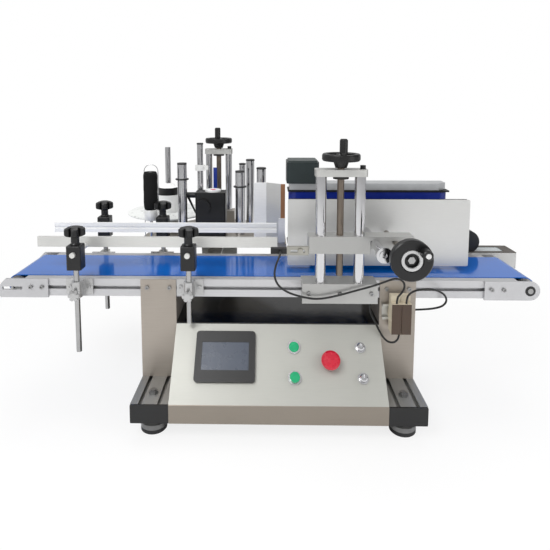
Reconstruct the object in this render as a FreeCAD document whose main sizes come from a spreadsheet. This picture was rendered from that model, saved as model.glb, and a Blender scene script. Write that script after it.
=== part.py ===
import FreeCAD, Part
import math
import os
import re
import Sketcher

# Desktop wrap-around labelling machine for round bottles.
# Millimetres, +Z up, +X along the conveyor, +Y from the operator's side to the back.
# X is counted from the middle of the base frame and Z from the floor. Each piece is drawn with Y
# counted from the centreline of the belt, and its Placement then moves it by belt_y.

SIZES = {
    # place of the belt's centreline in the part's frame
    "belt_y": -72,
    # base frame: two slotted beams from front to back, on levelling feet
    "beam_pitch": 536, "beam_wide": 80, "beam_high": 40, "beam_bottom": 38, "beam_front": -208,
    "beam_long": 590, "cap_thick": 4, "slot_mouth": 8, "slot_lip": 2.5, "slot_wide": 15,
    "slot_deep": 9, "slot_offset": 20,
    "foot_radius": 28, "foot_cup": 24, "stud_radius": 6, "stud_above": 9, "foot_setback": 41,
    "nut_radius": 10, "nut_high": 6,
    # control box with its sloped panel
    "box_gap": 0.3, "box_back": 180, "box_top": 207.5, "panel_top": -101.5, "panel_wall": 3,
    "box_wall": 2, "lid_thick": 3,
    # operator panel: in from the box's side (left for the screen), up from the lower edge
    "screen_in": 113.7, "screen_up": 97, "bezel_wide": 130, "bezel_high": 106,
    "bezel_thick": 8, "bezel_corner": 7, "bezel_deep": 24, "bezel_lap": 7,
    "display_wide": 102, "display_high": 58,
    "button_in": 192.2, "start_up": 118, "stop_up": 55, "estop_in": 115.7, "estop_up": 87,
    "dial_in": 47.7, "button_radius": 11, "collar_radius": 14.5, "collar_thick": 3,
    "button_proud": 2, "stop_proud": 8, "estop_radius": 20, "estop_proud": 24,
    "dial_radius": 8, "dial_proud": 9, "button_fit": 0.05, "button_depth": 22,
    # conveyor
    "belt_top": 307, "belt_wide": 150, "belt_thick": 2, "roller_radius": 20, "belt_fit": 0.05,
    "idler_x": -598, "drive_x": 560, "roller_shaft": 6, "idler_shaft": 3.45, "roller_gap": 1,
    "rail_high": 40, "rail_thick": 20, "rail_gap": 2, "rail_drop": 1, "rail_inset": 26,
    "bed_thick": 3, "bed_skirt": 18,
    "plate_thick": 5, "left_plate_long": 112, "plate_nose": 31, "right_plate_long": 122,
    "plate_high": 43, "plate_corner": 8, "tension_long": 45, "tension_high": 7,
    "bearing_radius": 11, "shaft_fit": 0.05, "shaft_proud": 1.5,
    # uprights between the beams and the rails
    "upright_wide": 80, "upright_thick": 4, "upright_web_top": 261, "upright_foot": 34,
    "screw_radius": 4.5, "screw_head": 4,
    # both lift stages: block on the rail, two columns, top plate, screw and handwheel
    "stage_x": 135, "stage_y": -114, "stage_wide": 164, "stage_bottom": 265, "stage_top": 309,
    "stage_deep": 33, "column_radius": 12, "column_pitch": 84, "plate_bottom": 544,
    "plate_top": 559, "top_plate_wide": 112, "top_plate_deep": 38, "top_plate_corner": 9,
    "cap_radius": 6, "cap_high": 8, "cap_in": 9, "thrust_radius": 17, "thrust_high": 6,
    "lead_radius": 7.5, "lead_bottom": 324, "run_fit": 0.05,
    "rear_x": -174, "rear_y": 362, "rear_pitch": 61, "rear_column_radius": 10,
    "rear_plate_wide": 84, "rear_base_wide": 110,
    "wheel_radius": 41, "wheel_bottom": 562, "hub_high": 15, "rim_high": 15, "rim_wide": 11,
    "grip_radius": 8.5, "grip_high": 34, "grip_offset": 33,
    # lifting block, its arm and the press slide
    "block_left": 66, "block_right": 200, "block_bottom": 376, "block_top": 414,
    "block_deep": 40, "arm_end": 292, "arm_bottom": 384, "arm_flange": 9, "arm_step": 12,
    "press_rod_x": 209, "press_screw_x": 254,
    "press_z": 399, "press_rod_radius": 10, "press_screw_radius": 6, "yoke_y": -215,
    "yoke_thick": 12, "yoke_radius": 16,
    "press_left": 25, "press_right": 451, "press_bottom": 316, "press_top": 475,
    "press_y": -25, "press_thick": 3, "press_corner": 4, "pad_thick": 10, "pad_margin": 4,
    "press_wheel_y": -250, "ring_inner": 22, "cap_ring_inner": 14, "face_deep": 10,
    "lug_radius": 10, "lug_long": 23, "lug_x": 22.7, "lug_z": 17,
    # bottle sensor on its slotted arm
    "sensor_arm_left": 19, "sensor_arm_bottom": 372, "sensor_arm_high": 19, "sensor_arm_thick": 8,
    "sensor_long": 35, "sensor_high": 12,
    # wrap unit: upright belt that turns the bottle
    "wrap_left": 28, "wrap_right": 428, "wrap_bottom": 345, "wrap_top": 484, "wrap_y": 71,
    "wrap_pulley_radius": 18, "wrap_belt_thick": 2, "wrap_plate": 4, "cover_high": 17,
    "wrap_back_thick": 6, "wrap_motor_wide": 80, "wrap_motor_high": 53, "wrap_motor_left": 25,
    "wrap_motor_cap": 4,
    # bottle guides
    "guide_left_in": 153, "guide_right_in": 402, "rear_left_in": 142, "rear_right_off": 33,
    "post_y": 118, "post_radius": 6, "clamp_wide": 32,
    "clamp_high": 54, "clamp_bottom": 337, "rear_clamp_rise": 10, "cross_rise": 35,
    "post_in_clamp": 18, "left_post_end": 146, "right_post_end": 214, "guide_face": 44,
    "guide_thick": 8, "guide_high": 24, "guide_in": 38, "guide_long": 560,
    "bracket_wide": 60, "bracket_high": 36, "bracket_thick": 6, "boss_radius": 11,
    "knob_radius": 23, "knob_stem": 9, "knob_neck": 18, "knob_high": 22,
    "star_radius": 13, "star_neck": 6, "star_high": 8,
    # label head
    "head_bottom": 322, "head_thick": 10, "head_front": 145, "carriage_high": 45,
    "scale_left": -187, "scale_wide": 11, "scale_thick": 2, "scale_y": 316, "scale_top": 506,
    "reel_x": -321, "reel_y": 300,
    "disc_radius": 119, "disc_thick": 3, "disc_bottom": 373, "reel_radius": 33, "reel_high": 52,
    "clamp_ring_high": 21, "clamp_ring_radius": 30, "spindle_radius": 8, "spindle_top": 569,
    "foam_x": -340, "foam_y": 152, "foam_radius": 19, "foam_bottom": 412, "foam_top": 515,
    "foam_boss_radius": 18, "foam_boss_high": 29, "hoop_radius": 19, "hoop_back": 9,
    "wire_radius": 1,
    "entry_roller_x": -256, "entry_roller_y": 165, "entry_roller_top": 538,
    "exit_roller_x": -100, "exit_roller_y": 200, "exit_roller_top": 512,
    "path_roller_radius": 13, "ring_radius": 18, "ring_thick": 3, "pin_radius": 4,
    "web_left_x": -214, "web_left_y": 224, "web_left_radius": 8.4, "web_left_top": 588,
    "web_back_x": -96, "web_back_y": 262, "web_back_radius": 9, "web_back_top": 526,
    "web_middle_x": -72, "web_middle_y": 232, "web_middle_radius": 11.5, "web_middle_top": 541,
    "web_right_x": -40, "web_right_y": 180, "web_right_radius": 12.5, "web_right_top": 524,
    "clamp_collar_z": 510, "clamp_collar_high": 15, "clamp_collar_wall": 6,
    "feed_left": -221, "feed_right": -138, "feed_front": 162, "feed_deep": 50, "feed_high": 124,
    "feed_boss_z": 418, "lever_radius": 8, "lever_reach": 25, "strap_drop": 58,
    "peel_y": 130, "peel_left": -59, "peel_bend": -26, "peel_tip_x": 12, "peel_tip_y": 103,
    "peel_edge": 23, "peel_top": 490, "peel_thick": 3, "peel_guard_wide": 17,
    "peel_guard_thick": 5, "peel_guard_bottom": 337, "peel_guard_top": 400,
    # conveyor drive behind the right end
    "drive_left": 510, "drive_right": 629, "drive_gap": 0.3, "drive_deep": 66,
    "drive_bottom": 268, "drive_top": 311, "motor_radius": 30, "motor_long": 92, "motor_x": 505,
    "motor_z": 336, "window_margin": 14,
    # relays on the right upright
    "din_left": 233, "din_right": 293, "din_high": 35, "din_bottom": 221, "din_deep": 7,
    "relay_left": 246.5, "relay_wide": 20.5, "relay_deep": 30, "relay_high": 82,
    "relay_bottom": 200, "relay_step": 14, "relay_ledge": 12,
    "cable_radius": 2.2,
}

doc = FreeCAD.newDocument("LabellingMachine")
sheet = doc.addObject("Spreadsheet::Sheet", "Sizes")
for row, (alias, value) in enumerate(SIZES.items(), 1):
    sheet.set(f"A{row}", alias)
    sheet.set(f"B{row}", str(value))
    sheet.setAlias(f"B{row}", alias)
doc.recompute()

nodes = {}


# ---- small helpers that bind every size to the sheet ----------------------------------------

def formula(text):
    """The same sum with each alias written as a cell of the sheet."""
    return re.sub(r"[a-z_]+", lambda m: "Sizes." + m[0] if m[0] in SIZES else m[0], str(text))


def bind(item, **properties):
    for name, text in properties.items():
        item.setExpression(name.replace("__", "."), formula(text))


def move(item, x=0, y=0, z=0):
    bind(item, Placement__Base__x=x, Placement__Base__y=y, Placement__Base__z=z)
    return item


def block(name, x, y, z):
    """A box given by its two limits on each axis."""
    item = doc.addObject("Part::Box", name)
    for side, (low, high) in zip(("Length", "Width", "Height"), (x, y, z)):
        bind(item, **{side: f"({high}) - ({low})"})
    return move(item, x[0], y[0], z[0])


TURN = {"x": (FreeCAD.Vector(0, 1, 0), 90), "y": (FreeCAD.Vector(-1, 0, 0), 90), "z": None}


def rod(name, radius, start, end, axis="z", at=(0, 0)):
    """A round bar along an axis from start to end, at the two other coordinates."""
    item = doc.addObject("Part::Cylinder", name)
    bind(item, Radius=radius, Height=f"({end}) - ({start})")
    if TURN[axis]:
        item.Placement.Rotation = FreeCAD.Rotation(*TURN[axis])
    x, y, z = {"x": (start, *at), "y": (at[0], start, at[1]), "z": (*at, start)}[axis]
    return move(item, x, y, z)


def fuse(name, *items):
    item = doc.addObject("Part::MultiFuse", name)
    item.Shapes = list(items)
    item.Refine = True
    return item


def group(name, *items):
    """Separate solids that share one name."""
    item = doc.addObject("Part::Compound", name)
    item.Links = list(items)
    return item


def cut(name, base, *tools):
    item = doc.addObject("Part::Cut", name)
    item.Base = base
    item.Tool = tools[0] if len(tools) == 1 else fuse(name + "_cutter", *tools)
    item.Refine = True
    return item


def mirrored(name, source, normal, x=0, y=0):
    """A mirror image in the plane through (x, y) with the given normal."""
    item = doc.addObject("Part::Mirroring", name)
    item.Source = source
    item.Normal = FreeCAD.Vector(*normal)
    bind(item, Base__x=x, Base__y=y)
    return item


def outline(body, plane, points):
    """A closed sketch of straight lines, each corner held at its two formulas."""
    sketch = body.newObject("Sketcher::SketchObject", body.Name + "_outline")
    origin_plane = next(f for f in body.Origin.OriginFeatures if f.Role == plane)
    sketch.AttachmentSupport = [(origin_plane, "")]
    sketch.MapMode = "FlatFace"
    corners = [tuple(worth(c) for c in point) for point in points]
    count = len(corners)
    for i, (a, b) in enumerate(corners):
        c, d = corners[(i + 1) % count]
        sketch.addGeometry(Part.LineSegment(FreeCAD.Vector(a, b, 0), FreeCAD.Vector(c, d, 0)), False)
    for i in range(count):
        sketch.addConstraint(Sketcher.Constraint("Coincident", i, 2, (i + 1) % count, 1))
    for i, point in enumerate(points):
        for kind, text, value in zip(("DistanceX", "DistanceY"), point, corners[i]):
            index = sketch.addConstraint(Sketcher.Constraint(kind, -1, 1, i, 1, value))
            sketch.setExpression(f"Constraints[{index}]", formula(text))
    return sketch


scratch = doc.addObject("App::FeaturePython", "Scratch")
scratch.addProperty("App::PropertyFloat", "Value")


def worth(text):
    """The number that a formula gives now."""
    scratch.setExpression("Value", formula(text))
    scratch.recompute()
    return scratch.Value


def extruded(name, plane, points, length):
    """A prism on one of the origin planes, grown along the positive axis."""
    body = doc.addObject("PartDesign::Body", name)
    sketch = outline(body, plane, points)
    pad = body.newObject("PartDesign::Pad", name + "_pad")
    pad.Profile = sketch
    pad.Reversed = plane == "XZ_Plane"
    bind(pad, Length=length)
    return body


def turned(name, points):
    """A body of revolution about its own Z axis, from a half outline of (radius, height)."""
    body = doc.addObject("PartDesign::Body", name)
    sketch = outline(body, "XZ_Plane", points)
    revolution = body.newObject("PartDesign::Revolution", name + "_turn")
    revolution.Profile = sketch
    revolution.ReferenceAxis = (sketch, ["V_Axis"])
    revolution.Angle = 360
    return body


def rounded(name, item, radius, picks):
    """The piece with the edges that picks(edge) accepts rounded."""
    doc.recompute()
    fillet = doc.addObject("Part::Fillet", name)
    fillet.Base = item
    chosen = [i for i, edge in enumerate(item.Shape.Edges, 1) if picks(edge)]
    fillet.Edges = [(i, worth(radius), worth(radius)) for i in chosen]
    return fillet


def along(axis):
    """Picks the straight edges that run along an axis."""
    def picks(edge):
        if edge.Curve.TypeId != "Part::GeomLine":
            return False
        return abs(edge.Curve.Direction.dot(FreeCAD.Vector(*axis))) > 0.999
    return picks


def above(z):
    """Picks the edges that lie wholly above a height."""
    height = worth(z)
    return lambda edge: edge.BoundBox.ZMin > height


def subpart(node, item):
    """Names a finished piece and moves it to its place in the part's frame."""
    if item.ExpressionEngine:
        item = group(node + "_piece", item)
    item.Label = node
    bind(item, Placement__Base__y="belt_y")
    nodes[node] = item


# ---- base frame -----------------------------------------------------------------------------

def slot_cutters(name, x, y, z, axis, facing):
    """Mouth and undercut of a T slot along axis, in the face at the given place."""
    half_mouth, half_wide = "slot_mouth / 2", "slot_wide / 2"
    cutters = []
    for kind, half, near, deep in (("mouth", half_mouth, "-1", "slot_lip + 1"),
                                   ("undercut", half_wide, "slot_lip", "slot_deep")):
        depth = (f"{facing} * ({near})", f"{facing} * ({deep})")
        spans = {"x": x, "y": y, "z": z}
        centre_axis, depth_axis = [k for k in "xyz" if k != axis[0]][::axis[1]]
        spans[centre_axis] = (f"({spans[centre_axis]}) - {half}", f"({spans[centre_axis]}) + {half}")
        low, high = depth if facing == 1 else depth[::-1]
        spans[depth_axis] = (f"({spans[depth_axis]}) + {low}", f"({spans[depth_axis]}) + {high}")
        cutters.append(block(f"{name}_{kind}", spans["x"], spans["y"], spans["z"]))
    return cutters


def base_frame():
    beams, caps, feet = [], [], []
    top = "beam_bottom + beam_high"
    back = "beam_front + beam_long"
    for side, sign in (("left", -1), ("right", 1)):
        x = f"{sign} * beam_pitch / 2"
        span = ("beam_front", back)
        left, right = f"{x} - beam_wide / 2", f"{x} + beam_wide / 2"
        bar = block(f"beam_{side}_bar", (left, right), span, ("beam_bottom", top))
        cutters = []
        for k, offset in enumerate(("-slot_offset", "slot_offset")):
            at = f"{x} + {offset}"
            cutters += slot_cutters(f"beam_{side}_top{k}", at, span, top, ("y", 1), -1)
            cutters += slot_cutters(f"beam_{side}_low{k}", at, span, "beam_bottom", ("y", 1), 1)
        middle = "beam_bottom + beam_high / 2"
        cutters += slot_cutters(f"beam_{side}_out", left, span, middle, ("y", -1), 1)
        cutters += slot_cutters(f"beam_{side}_in", right, span, middle, ("y", -1), -1)
        beams.append(cut(f"beam_{side}", bar, *cutters))
        for end, low in (("front", "beam_front - cap_thick"), ("rear", back)):
            cap = block(f"cap_{side}_{end}", (left, right), (low, f"{low} + cap_thick"),
                        ("beam_bottom", top))
            caps.append(rounded(f"cap_{side}_{end}_round", cap, 2, along((0, 1, 0))))
        for end, y in (("front", "beam_front + foot_setback"), ("rear", f"{back} - foot_setback")):
            feet.append(levelling_foot(f"foot_{side}_{end}", x, y))
        feet += stud_end(f"stud_{side}", x, "beam_front + foot_setback")
    subpart("base_beams", group("beams", *beams))
    subpart("beam_end_caps", group("caps", *caps))
    subpart("levelling_feet", group("feet", *feet))


def stud_end(name, x, y):
    """The end of a front foot's stud and its nut, on top of the beam."""
    top = "beam_bottom + beam_high"
    nut = doc.addObject("Part::Prism", f"{name}_nut")
    nut.Polygon = 6
    bind(nut, Circumradius="nut_radius", Height="nut_high")
    move(nut, x, y, top)
    end = rod(f"{name}_end", "stud_radius", top, f"{top} + stud_above", "z", (x, y))
    return [fuse(f"{name}_pair", nut, end)]


def levelling_foot(name, x, y):
    """Cup, neck, and the shoulder under the beam."""
    top = "beam_bottom"
    foot = turned(name, [(0, 0), ("foot_radius - 2", 0), ("foot_radius", 2),
                         ("foot_radius", "foot_cup - 4"), ("foot_radius - 6", "foot_cup"),
                         ("stud_radius + 4", "foot_cup"), ("stud_radius + 4", top), (0, top)])
    return move(foot, x, y)


# ---- conveyor -------------------------------------------------------------------------------

AXIS_Z = "(belt_top - belt_thick - roller_radius - belt_fit)"
RAIL_START = "(idler_x + rail_inset)"
RAIL_END = "(drive_x - rail_inset)"
RAIL_TOP = "(belt_top - rail_drop)"
RAIL_BOTTOM = f"({RAIL_TOP} - rail_high)"
RAIL_IN = "(belt_wide / 2 + rail_gap)"
RAIL_OUT = f"({RAIL_IN} + rail_thick)"


def conveyor():
    rail = block("rail_bar", (RAIL_START, RAIL_END), (f"-{RAIL_OUT}", f"-{RAIL_IN}"),
                 (RAIL_BOTTOM, RAIL_TOP))
    slot = slot_cutters("rail_slot", (RAIL_START, RAIL_END), f"-{RAIL_OUT}",
                        f"{RAIL_BOTTOM} + rail_high / 2", ("x", -1), 1)
    front_rail = cut("front_rail", rail, *slot)
    rear_rail = mirrored("rear_rail", front_rail, (0, 1, 0))
    subpart("conveyor_rails", group("rails", front_rail, rear_rail))

    bed_top = "belt_top - belt_thick"
    skirt = f"{bed_top} - bed_skirt"
    inner = f"{RAIL_IN} - bed_thick"
    under = f"{bed_top} - bed_thick"
    sheet_metal = extruded("bed_sheet", "YZ_Plane", [
        (f"-{RAIL_IN}", skirt), (f"-({inner})", skirt), (f"-({inner})", under), (inner, under),
        (inner, skirt), (RAIL_IN, skirt), (RAIL_IN, bed_top), (f"-{RAIL_IN}", bed_top)],
        f"{RAIL_END} - {RAIL_START} - 4")
    move(sheet_metal, f"{RAIL_START} + 2")
    middle = f"({RAIL_START} + {RAIL_END}) / 2"
    bars = [rod(f"bed_bar{k}", 6, f"-{RAIL_IN}", RAIL_IN, "y", (x, f"{RAIL_BOTTOM} + 12"))
            for k, x in enumerate((f"{RAIL_START} + 60", middle, f"{RAIL_END} - 60"))]
    subpart("conveyor_bed", group("bed", sheet_metal, *bars))

    outer = loop("belt_outer", "roller_radius + belt_fit + belt_thick", 0)
    hollow = loop("belt_hollow", "roller_radius + belt_fit", 2)
    subpart("conveyor_belt", cut("belt", outer, hollow))
    end_plates()
    for name, x, shaft in (("drive_roller", "drive_x", "roller_shaft"),
                           ("idler_roller", "idler_x", "idler_shaft")):
        face = "(belt_wide / 2 - roller_gap)"
        reach = f"({RAIL_OUT} + plate_thick + shaft_proud)"
        roller = rod(f"{name}_drum", "roller_radius", f"-{face}", face, "y", (x, AXIS_Z))
        spindle = rod(f"{name}_spindle", shaft, f"-{reach}", reach, "y", (x, AXIS_Z))
        subpart(name, fuse(f"{name}_turned", roller, spindle))


def loop(name, radius, wider):
    """The stadium-shaped prism round both rollers."""
    half = f"(belt_wide / 2 + {wider})"
    ends = [rod(f"{name}_{k}", radius, f"-{half}", half, "y", (x, AXIS_Z))
            for k, x in enumerate(("idler_x", "drive_x"))]
    middle = block(f"{name}_middle", ("idler_x", "drive_x"), (f"-{half}", half),
                   (f"{AXIS_Z} - ({radius})", f"{AXIS_Z} + ({radius})"))
    return fuse(name, middle, *ends)


def end_plates():
    """Idler plates with their tension slot, and round-ended drive plates with bearings."""
    low, high = f"{AXIS_Z} - plate_high / 2", f"{AXIS_Z} + plate_high / 2"
    span = (f"-({RAIL_OUT} + plate_thick)", f"-{RAIL_OUT}")
    end = "idler_x - plate_nose"
    plate = extruded("idler_plate", "XZ_Plane", [
        (f"{end} + plate_corner / 2", low), (f"{end} + left_plate_long", low),
        (f"{end} + left_plate_long", high), (f"{end} + plate_corner * 2", high),
        (end, f"{high} - plate_corner * 2"), (end, f"{low} + plate_corner / 2")], "plate_thick")
    move(plate, 0, span[0])
    slot = block("tension_slot", ("idler_x - tension_long / 2", "idler_x + tension_long / 2"),
                 (f"{span[0]} - 1", f"{span[1]} + 1"),
                 (f"{AXIS_Z} - tension_high / 2", f"{AXIS_Z} + tension_high / 2"))
    idler_front = cut("idler_front", plate, slot)
    bar = block("drive_bar", ("drive_x - right_plate_long + plate_high / 2", "drive_x"), span,
                (low, high))
    nose = rod("drive_nose", "plate_high / 2", *span, "y", ("drive_x", AXIS_Z))
    seat = rod("bearing_seat", "bearing_radius", f"{span[0]} - 1", f"{span[1]} + 1", "y",
               ("drive_x", AXIS_Z))
    drive_front = cut("drive_front", fuse("drive_blank", bar, nose), seat)
    ring = rod("bearing_ring", "bearing_radius", *span, "y", ("drive_x", AXIS_Z))
    bore = rod("bearing_bore", "roller_shaft + shaft_fit", f"{span[0]} - 1", f"{span[1]} + 1",
               "y", ("drive_x", AXIS_Z))
    bearing = cut("bearing_front", ring, bore)
    fronts = (idler_front, drive_front, bearing)
    rears = [mirrored(f"{f.Name}_mirror", f, (0, 1, 0)) for f in fronts]
    subpart("end_plates", group("plates", *fronts, *rears))


# ---- uprights and screws --------------------------------------------------------------------

UPRIGHT_X = "(beam_pitch / 2)"


def uprights():
    """A channel bent from sheet on each beam: flanges on the rails' faces, a web between."""
    thick, inner = "upright_thick", f"({UPRIGHT_X} - upright_wide / 2)"
    outer = f"({UPRIGHT_X} + upright_wide / 2)"
    face = f"({RAIL_OUT} + {thick})"
    floor = "(beam_bottom + beam_high)"
    channel = extruded("upright_channel", "XY_Plane", [
        (inner, f"-{face}"), (outer, f"-{face}"), (outer, f"-{RAIL_OUT}"),
        (f"{inner} + {thick}", f"-{RAIL_OUT}"), (f"{inner} + {thick}", RAIL_OUT),
        (outer, RAIL_OUT), (outer, face), (inner, face)], f"{RAIL_TOP} - {floor}")
    move(channel, 0, 0, floor)
    gap = block("upright_gap", (f"{inner} - 1", f"{inner} + {thick} + 1"),
                (f"-{RAIL_OUT}", RAIL_OUT), ("upright_web_top", f"{RAIL_TOP} + 1"))
    body = cut("upright_sheet", channel, gap)
    feet = [block(f"upright_foot{k}", (f"{inner} + {thick}", outer), span,
                  (floor, f"{floor} + {thick}"))
            for k, span in enumerate(((f"-{RAIL_OUT}", f"-{RAIL_OUT} + upright_foot"),
                                      (f"{RAIL_OUT} - upright_foot", RAIL_OUT)))]
    right = fuse("upright_right", body, *feet)
    left = mirrored("upright_left", right, (1, 0, 0))
    subpart("uprights", group("both_uprights", right, left))


def screw(name, x, y, z, facing):
    """A socket screw head on a face that looks along -Y (facing -1) or +Y (facing 1)."""
    start, end = (f"{y} - screw_head", y) if facing < 0 else (y, f"{y} + screw_head")
    head = rod(f"{name}_head", "screw_radius", start, end, "y", (x, z))
    socket_start, socket_end = ((f"{start} - 1", f"{start} + screw_head / 2") if facing < 0
                                else (f"{end} - screw_head / 2", f"{end} + 1"))
    socket = rod(f"{name}_socket", "screw_radius * 0.5", socket_start, socket_end, "y", (x, z))
    return cut(name, head, socket)


def frame_screws():
    middle = f"({RAIL_BOTTOM} + rail_high / 2 + 2)"
    flange = f"({RAIL_OUT} + upright_thick)"
    plate = f"({RAIL_OUT} + plate_thick)"
    places = [(f"{sign} * {UPRIGHT_X} + {offset}", flange)
              for sign in (-1, 1) for offset in (-25, 25)]
    places += [("idler_x - plate_nose + left_plate_long - 39", plate),
               ("idler_x - plate_nose + left_plate_long - 14", plate),
               ("drive_x + plate_high / 2 - right_plate_long + 15", plate),
               ("drive_x + plate_high / 2 - right_plate_long + 42", plate)]
    screws = []
    for k, (x, y) in enumerate(places):
        screws.append(screw(f"screw_front{k}", x, f"-{y}", middle, -1))
        if k:
            screws.append(screw(f"screw_rear{k}", x, y, middle, 1))
    block_face = "stage_y - stage_deep / 2"
    screws += [screw(f"screw_stage{k}", f"stage_x + {offset}", block_face, middle, -1)
               for k, offset in enumerate((-68, 0, 68))]
    subpart("frame_screws", group("screws", *screws))


# ---- control box and operator panel ---------------------------------------------------------

BOX_WIDE = "(beam_pitch - beam_wide - 2 * box_gap)"
PANEL_FRONT = "(beam_front - cap_thick)"
PANEL_FOOT = "(beam_bottom + beam_high)"
LID_BOTTOM = "(box_top - lid_thick)"
SCREEN = f"(screen_in - {BOX_WIDE} / 2)"
BUTTONS, ESTOP, DIALS = (f"({BOX_WIDE} / 2 - {side}_in)" for side in ("button", "estop", "dial"))
CONTROLS = [(BUTTONS, "start_up", "button_radius", "start_button"),
            (BUTTONS, "stop_up", "button_radius", "stop_button"),
            (ESTOP, "estop_up", "button_radius", "estop_button"),
            (DIALS, "start_up", "dial_radius", "feed_dial"),
            (DIALS, "stop_up", "dial_radius", "speed_dial")]


def on_panel(item):
    """Tilts a piece drawn flat (X across, Y up the panel, Z outwards) onto the sloped panel."""
    item.Placement.Rotation = FreeCAD.Rotation(FreeCAD.Vector(1, 0, 0), 45)
    bind(item, Placement__Rotation__Angle=(
        f"atan2({LID_BOTTOM} - {PANEL_FOOT}; panel_top - {PANEL_FRONT})"))
    return move(item, 0, PANEL_FRONT, PANEL_FOOT)


def control_box():
    foot, front = PANEL_FOOT, PANEL_FRONT
    shell = extruded("box_outside", "YZ_Plane", [
        (front, "beam_bottom"), ("box_back", "beam_bottom"), ("box_back", LID_BOTTOM),
        ("panel_top", LID_BOTTOM), (front, foot)], BOX_WIDE)
    move(shell, f"-{BOX_WIDE} / 2")
    inside = extruded("box_inside", "YZ_Plane", [
        (f"{front} + panel_wall", "beam_bottom + box_wall"),
        ("box_back - box_wall", "beam_bottom + box_wall"), ("box_back - box_wall", LID_BOTTOM),
        ("panel_top + panel_wall", LID_BOTTOM), (f"{front} + panel_wall", foot)],
        f"{BOX_WIDE} - 2 * box_wall")
    move(inside, f"-{BOX_WIDE} / 2 + box_wall")
    holes = [block("screen_hole", (f"{SCREEN} - bezel_wide / 2 + 6",
                                   f"{SCREEN} + bezel_wide / 2 - 6"),
                   ("screen_up - bezel_high / 2 + 6", "screen_up + bezel_high / 2 - 6"),
                   (-10, 10))]
    holes += [rod(f"panel_hole{k}", f"{radius} + button_fit", -10, 10, "z", (x, y))
              for k, (x, y, radius, _) in enumerate(CONTROLS)]
    cutter = on_panel(group("panel_holes", *holes))
    subpart("control_box", cut("box", shell, inside, cutter))
    lid = block("lid", (f"-{BOX_WIDE} / 2", f"{BOX_WIDE} / 2"), ("panel_top", "box_back"),
                (LID_BOTTOM, "box_top"))
    subpart("control_box_lid", lid)


def operator_panel():
    half_wide, half_high = "bezel_wide / 2", "bezel_high / 2"
    frame = block("bezel_blank", (f"{SCREEN} - {half_wide}", f"{SCREEN} + {half_wide}"),
                  (f"screen_up - {half_high}", f"screen_up + {half_high}"), (0, "bezel_thick"))
    frame = rounded("bezel_round", frame, "bezel_corner", along((0, 0, 1)))
    back = block("bezel_back",
                 (f"{SCREEN} - {half_wide} + bezel_lap", f"{SCREEN} + {half_wide} - bezel_lap"),
                 (f"screen_up - {half_high} + bezel_lap", f"screen_up + {half_high} - bezel_lap"),
                 ("-bezel_deep", 0))
    display = (f"{SCREEN} - display_wide / 2", f"{SCREEN} + display_wide / 2")
    up = ("screen_up - display_high / 2", "screen_up + display_high / 2")
    pocket = block("display_pocket", display, up, ("bezel_thick - 3", "bezel_thick + 1"))
    bezel = cut("bezel", fuse("bezel_whole", frame, back), pocket)
    glass = block("display_glass", display, up, ("bezel_thick - 3", "bezel_thick - 1"))
    collars = []
    for x, y, radius, name in CONTROLS:
        ring = rod(f"{name}_ring", f"{radius} + collar_radius - button_radius", 0,
                   "collar_thick", "z", (x, y))
        bore = rod(f"{name}_bore", f"{radius} + button_fit", -1, "collar_thick + 1", "z", (x, y))
        collars.append(cut(f"{name}_collar", ring, bore))
    pieces = {"hmi_bezel": bezel, "hmi_screen": glass,
              "control_collars": group("collars", *collars)}
    proud = "collar_thick"
    pieces["start_button"] = button("start", "start_up", f"{proud} + button_proud", 1.5)
    pieces["stop_button"] = button("stop", "stop_up", f"{proud} + stop_proud", 1.5)
    stem = f"{proud} + 8"
    mushroom = turned("estop_turned", [
        (0, "-button_depth"), ("button_radius", "-button_depth"), ("button_radius", stem),
        ("estop_radius - 3", f"{stem} + 2"), ("estop_radius", f"{stem} + 6"),
        ("estop_radius", "estop_proud - 3"), ("estop_radius - 4", "estop_proud"),
        (0, "estop_proud + 1")])
    pieces["estop_button"] = move(mushroom, ESTOP, "estop_up")
    for name, y in (("feed_dial", "start_up"), ("speed_dial", "stop_up")):
        dial = turned(f"{name}_turned", [
            (0, "-button_depth"), ("dial_radius", "-button_depth"),
            ("dial_radius", f"{proud} + dial_proud - 2"),
            ("dial_radius - 2", f"{proud} + dial_proud"), (0, f"{proud} + dial_proud")])
        mark = block(f"{name}_mark", (-1, 1), (0, "dial_radius + 1"),
                     (f"{proud} + dial_proud - 1.5", f"{proud} + dial_proud + 1"))
        pieces[name] = move(cut(f"{name}_cut", dial, mark), DIALS, y)
    for node, piece in pieces.items():
        subpart(node, on_panel(group(f"{node}_flat", piece)))


def button(name, up, top, edge):
    """A round push button with a bevelled rim."""
    body = turned(f"{name}_turned", [
        (0, "-button_depth"), ("button_radius", "-button_depth"),
        ("button_radius", f"{top} - {edge}"), (f"button_radius - {edge}", top), (0, top)])
    return move(body, BUTTONS, up)


# ---- lift stages ----------------------------------------------------------------------------

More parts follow.
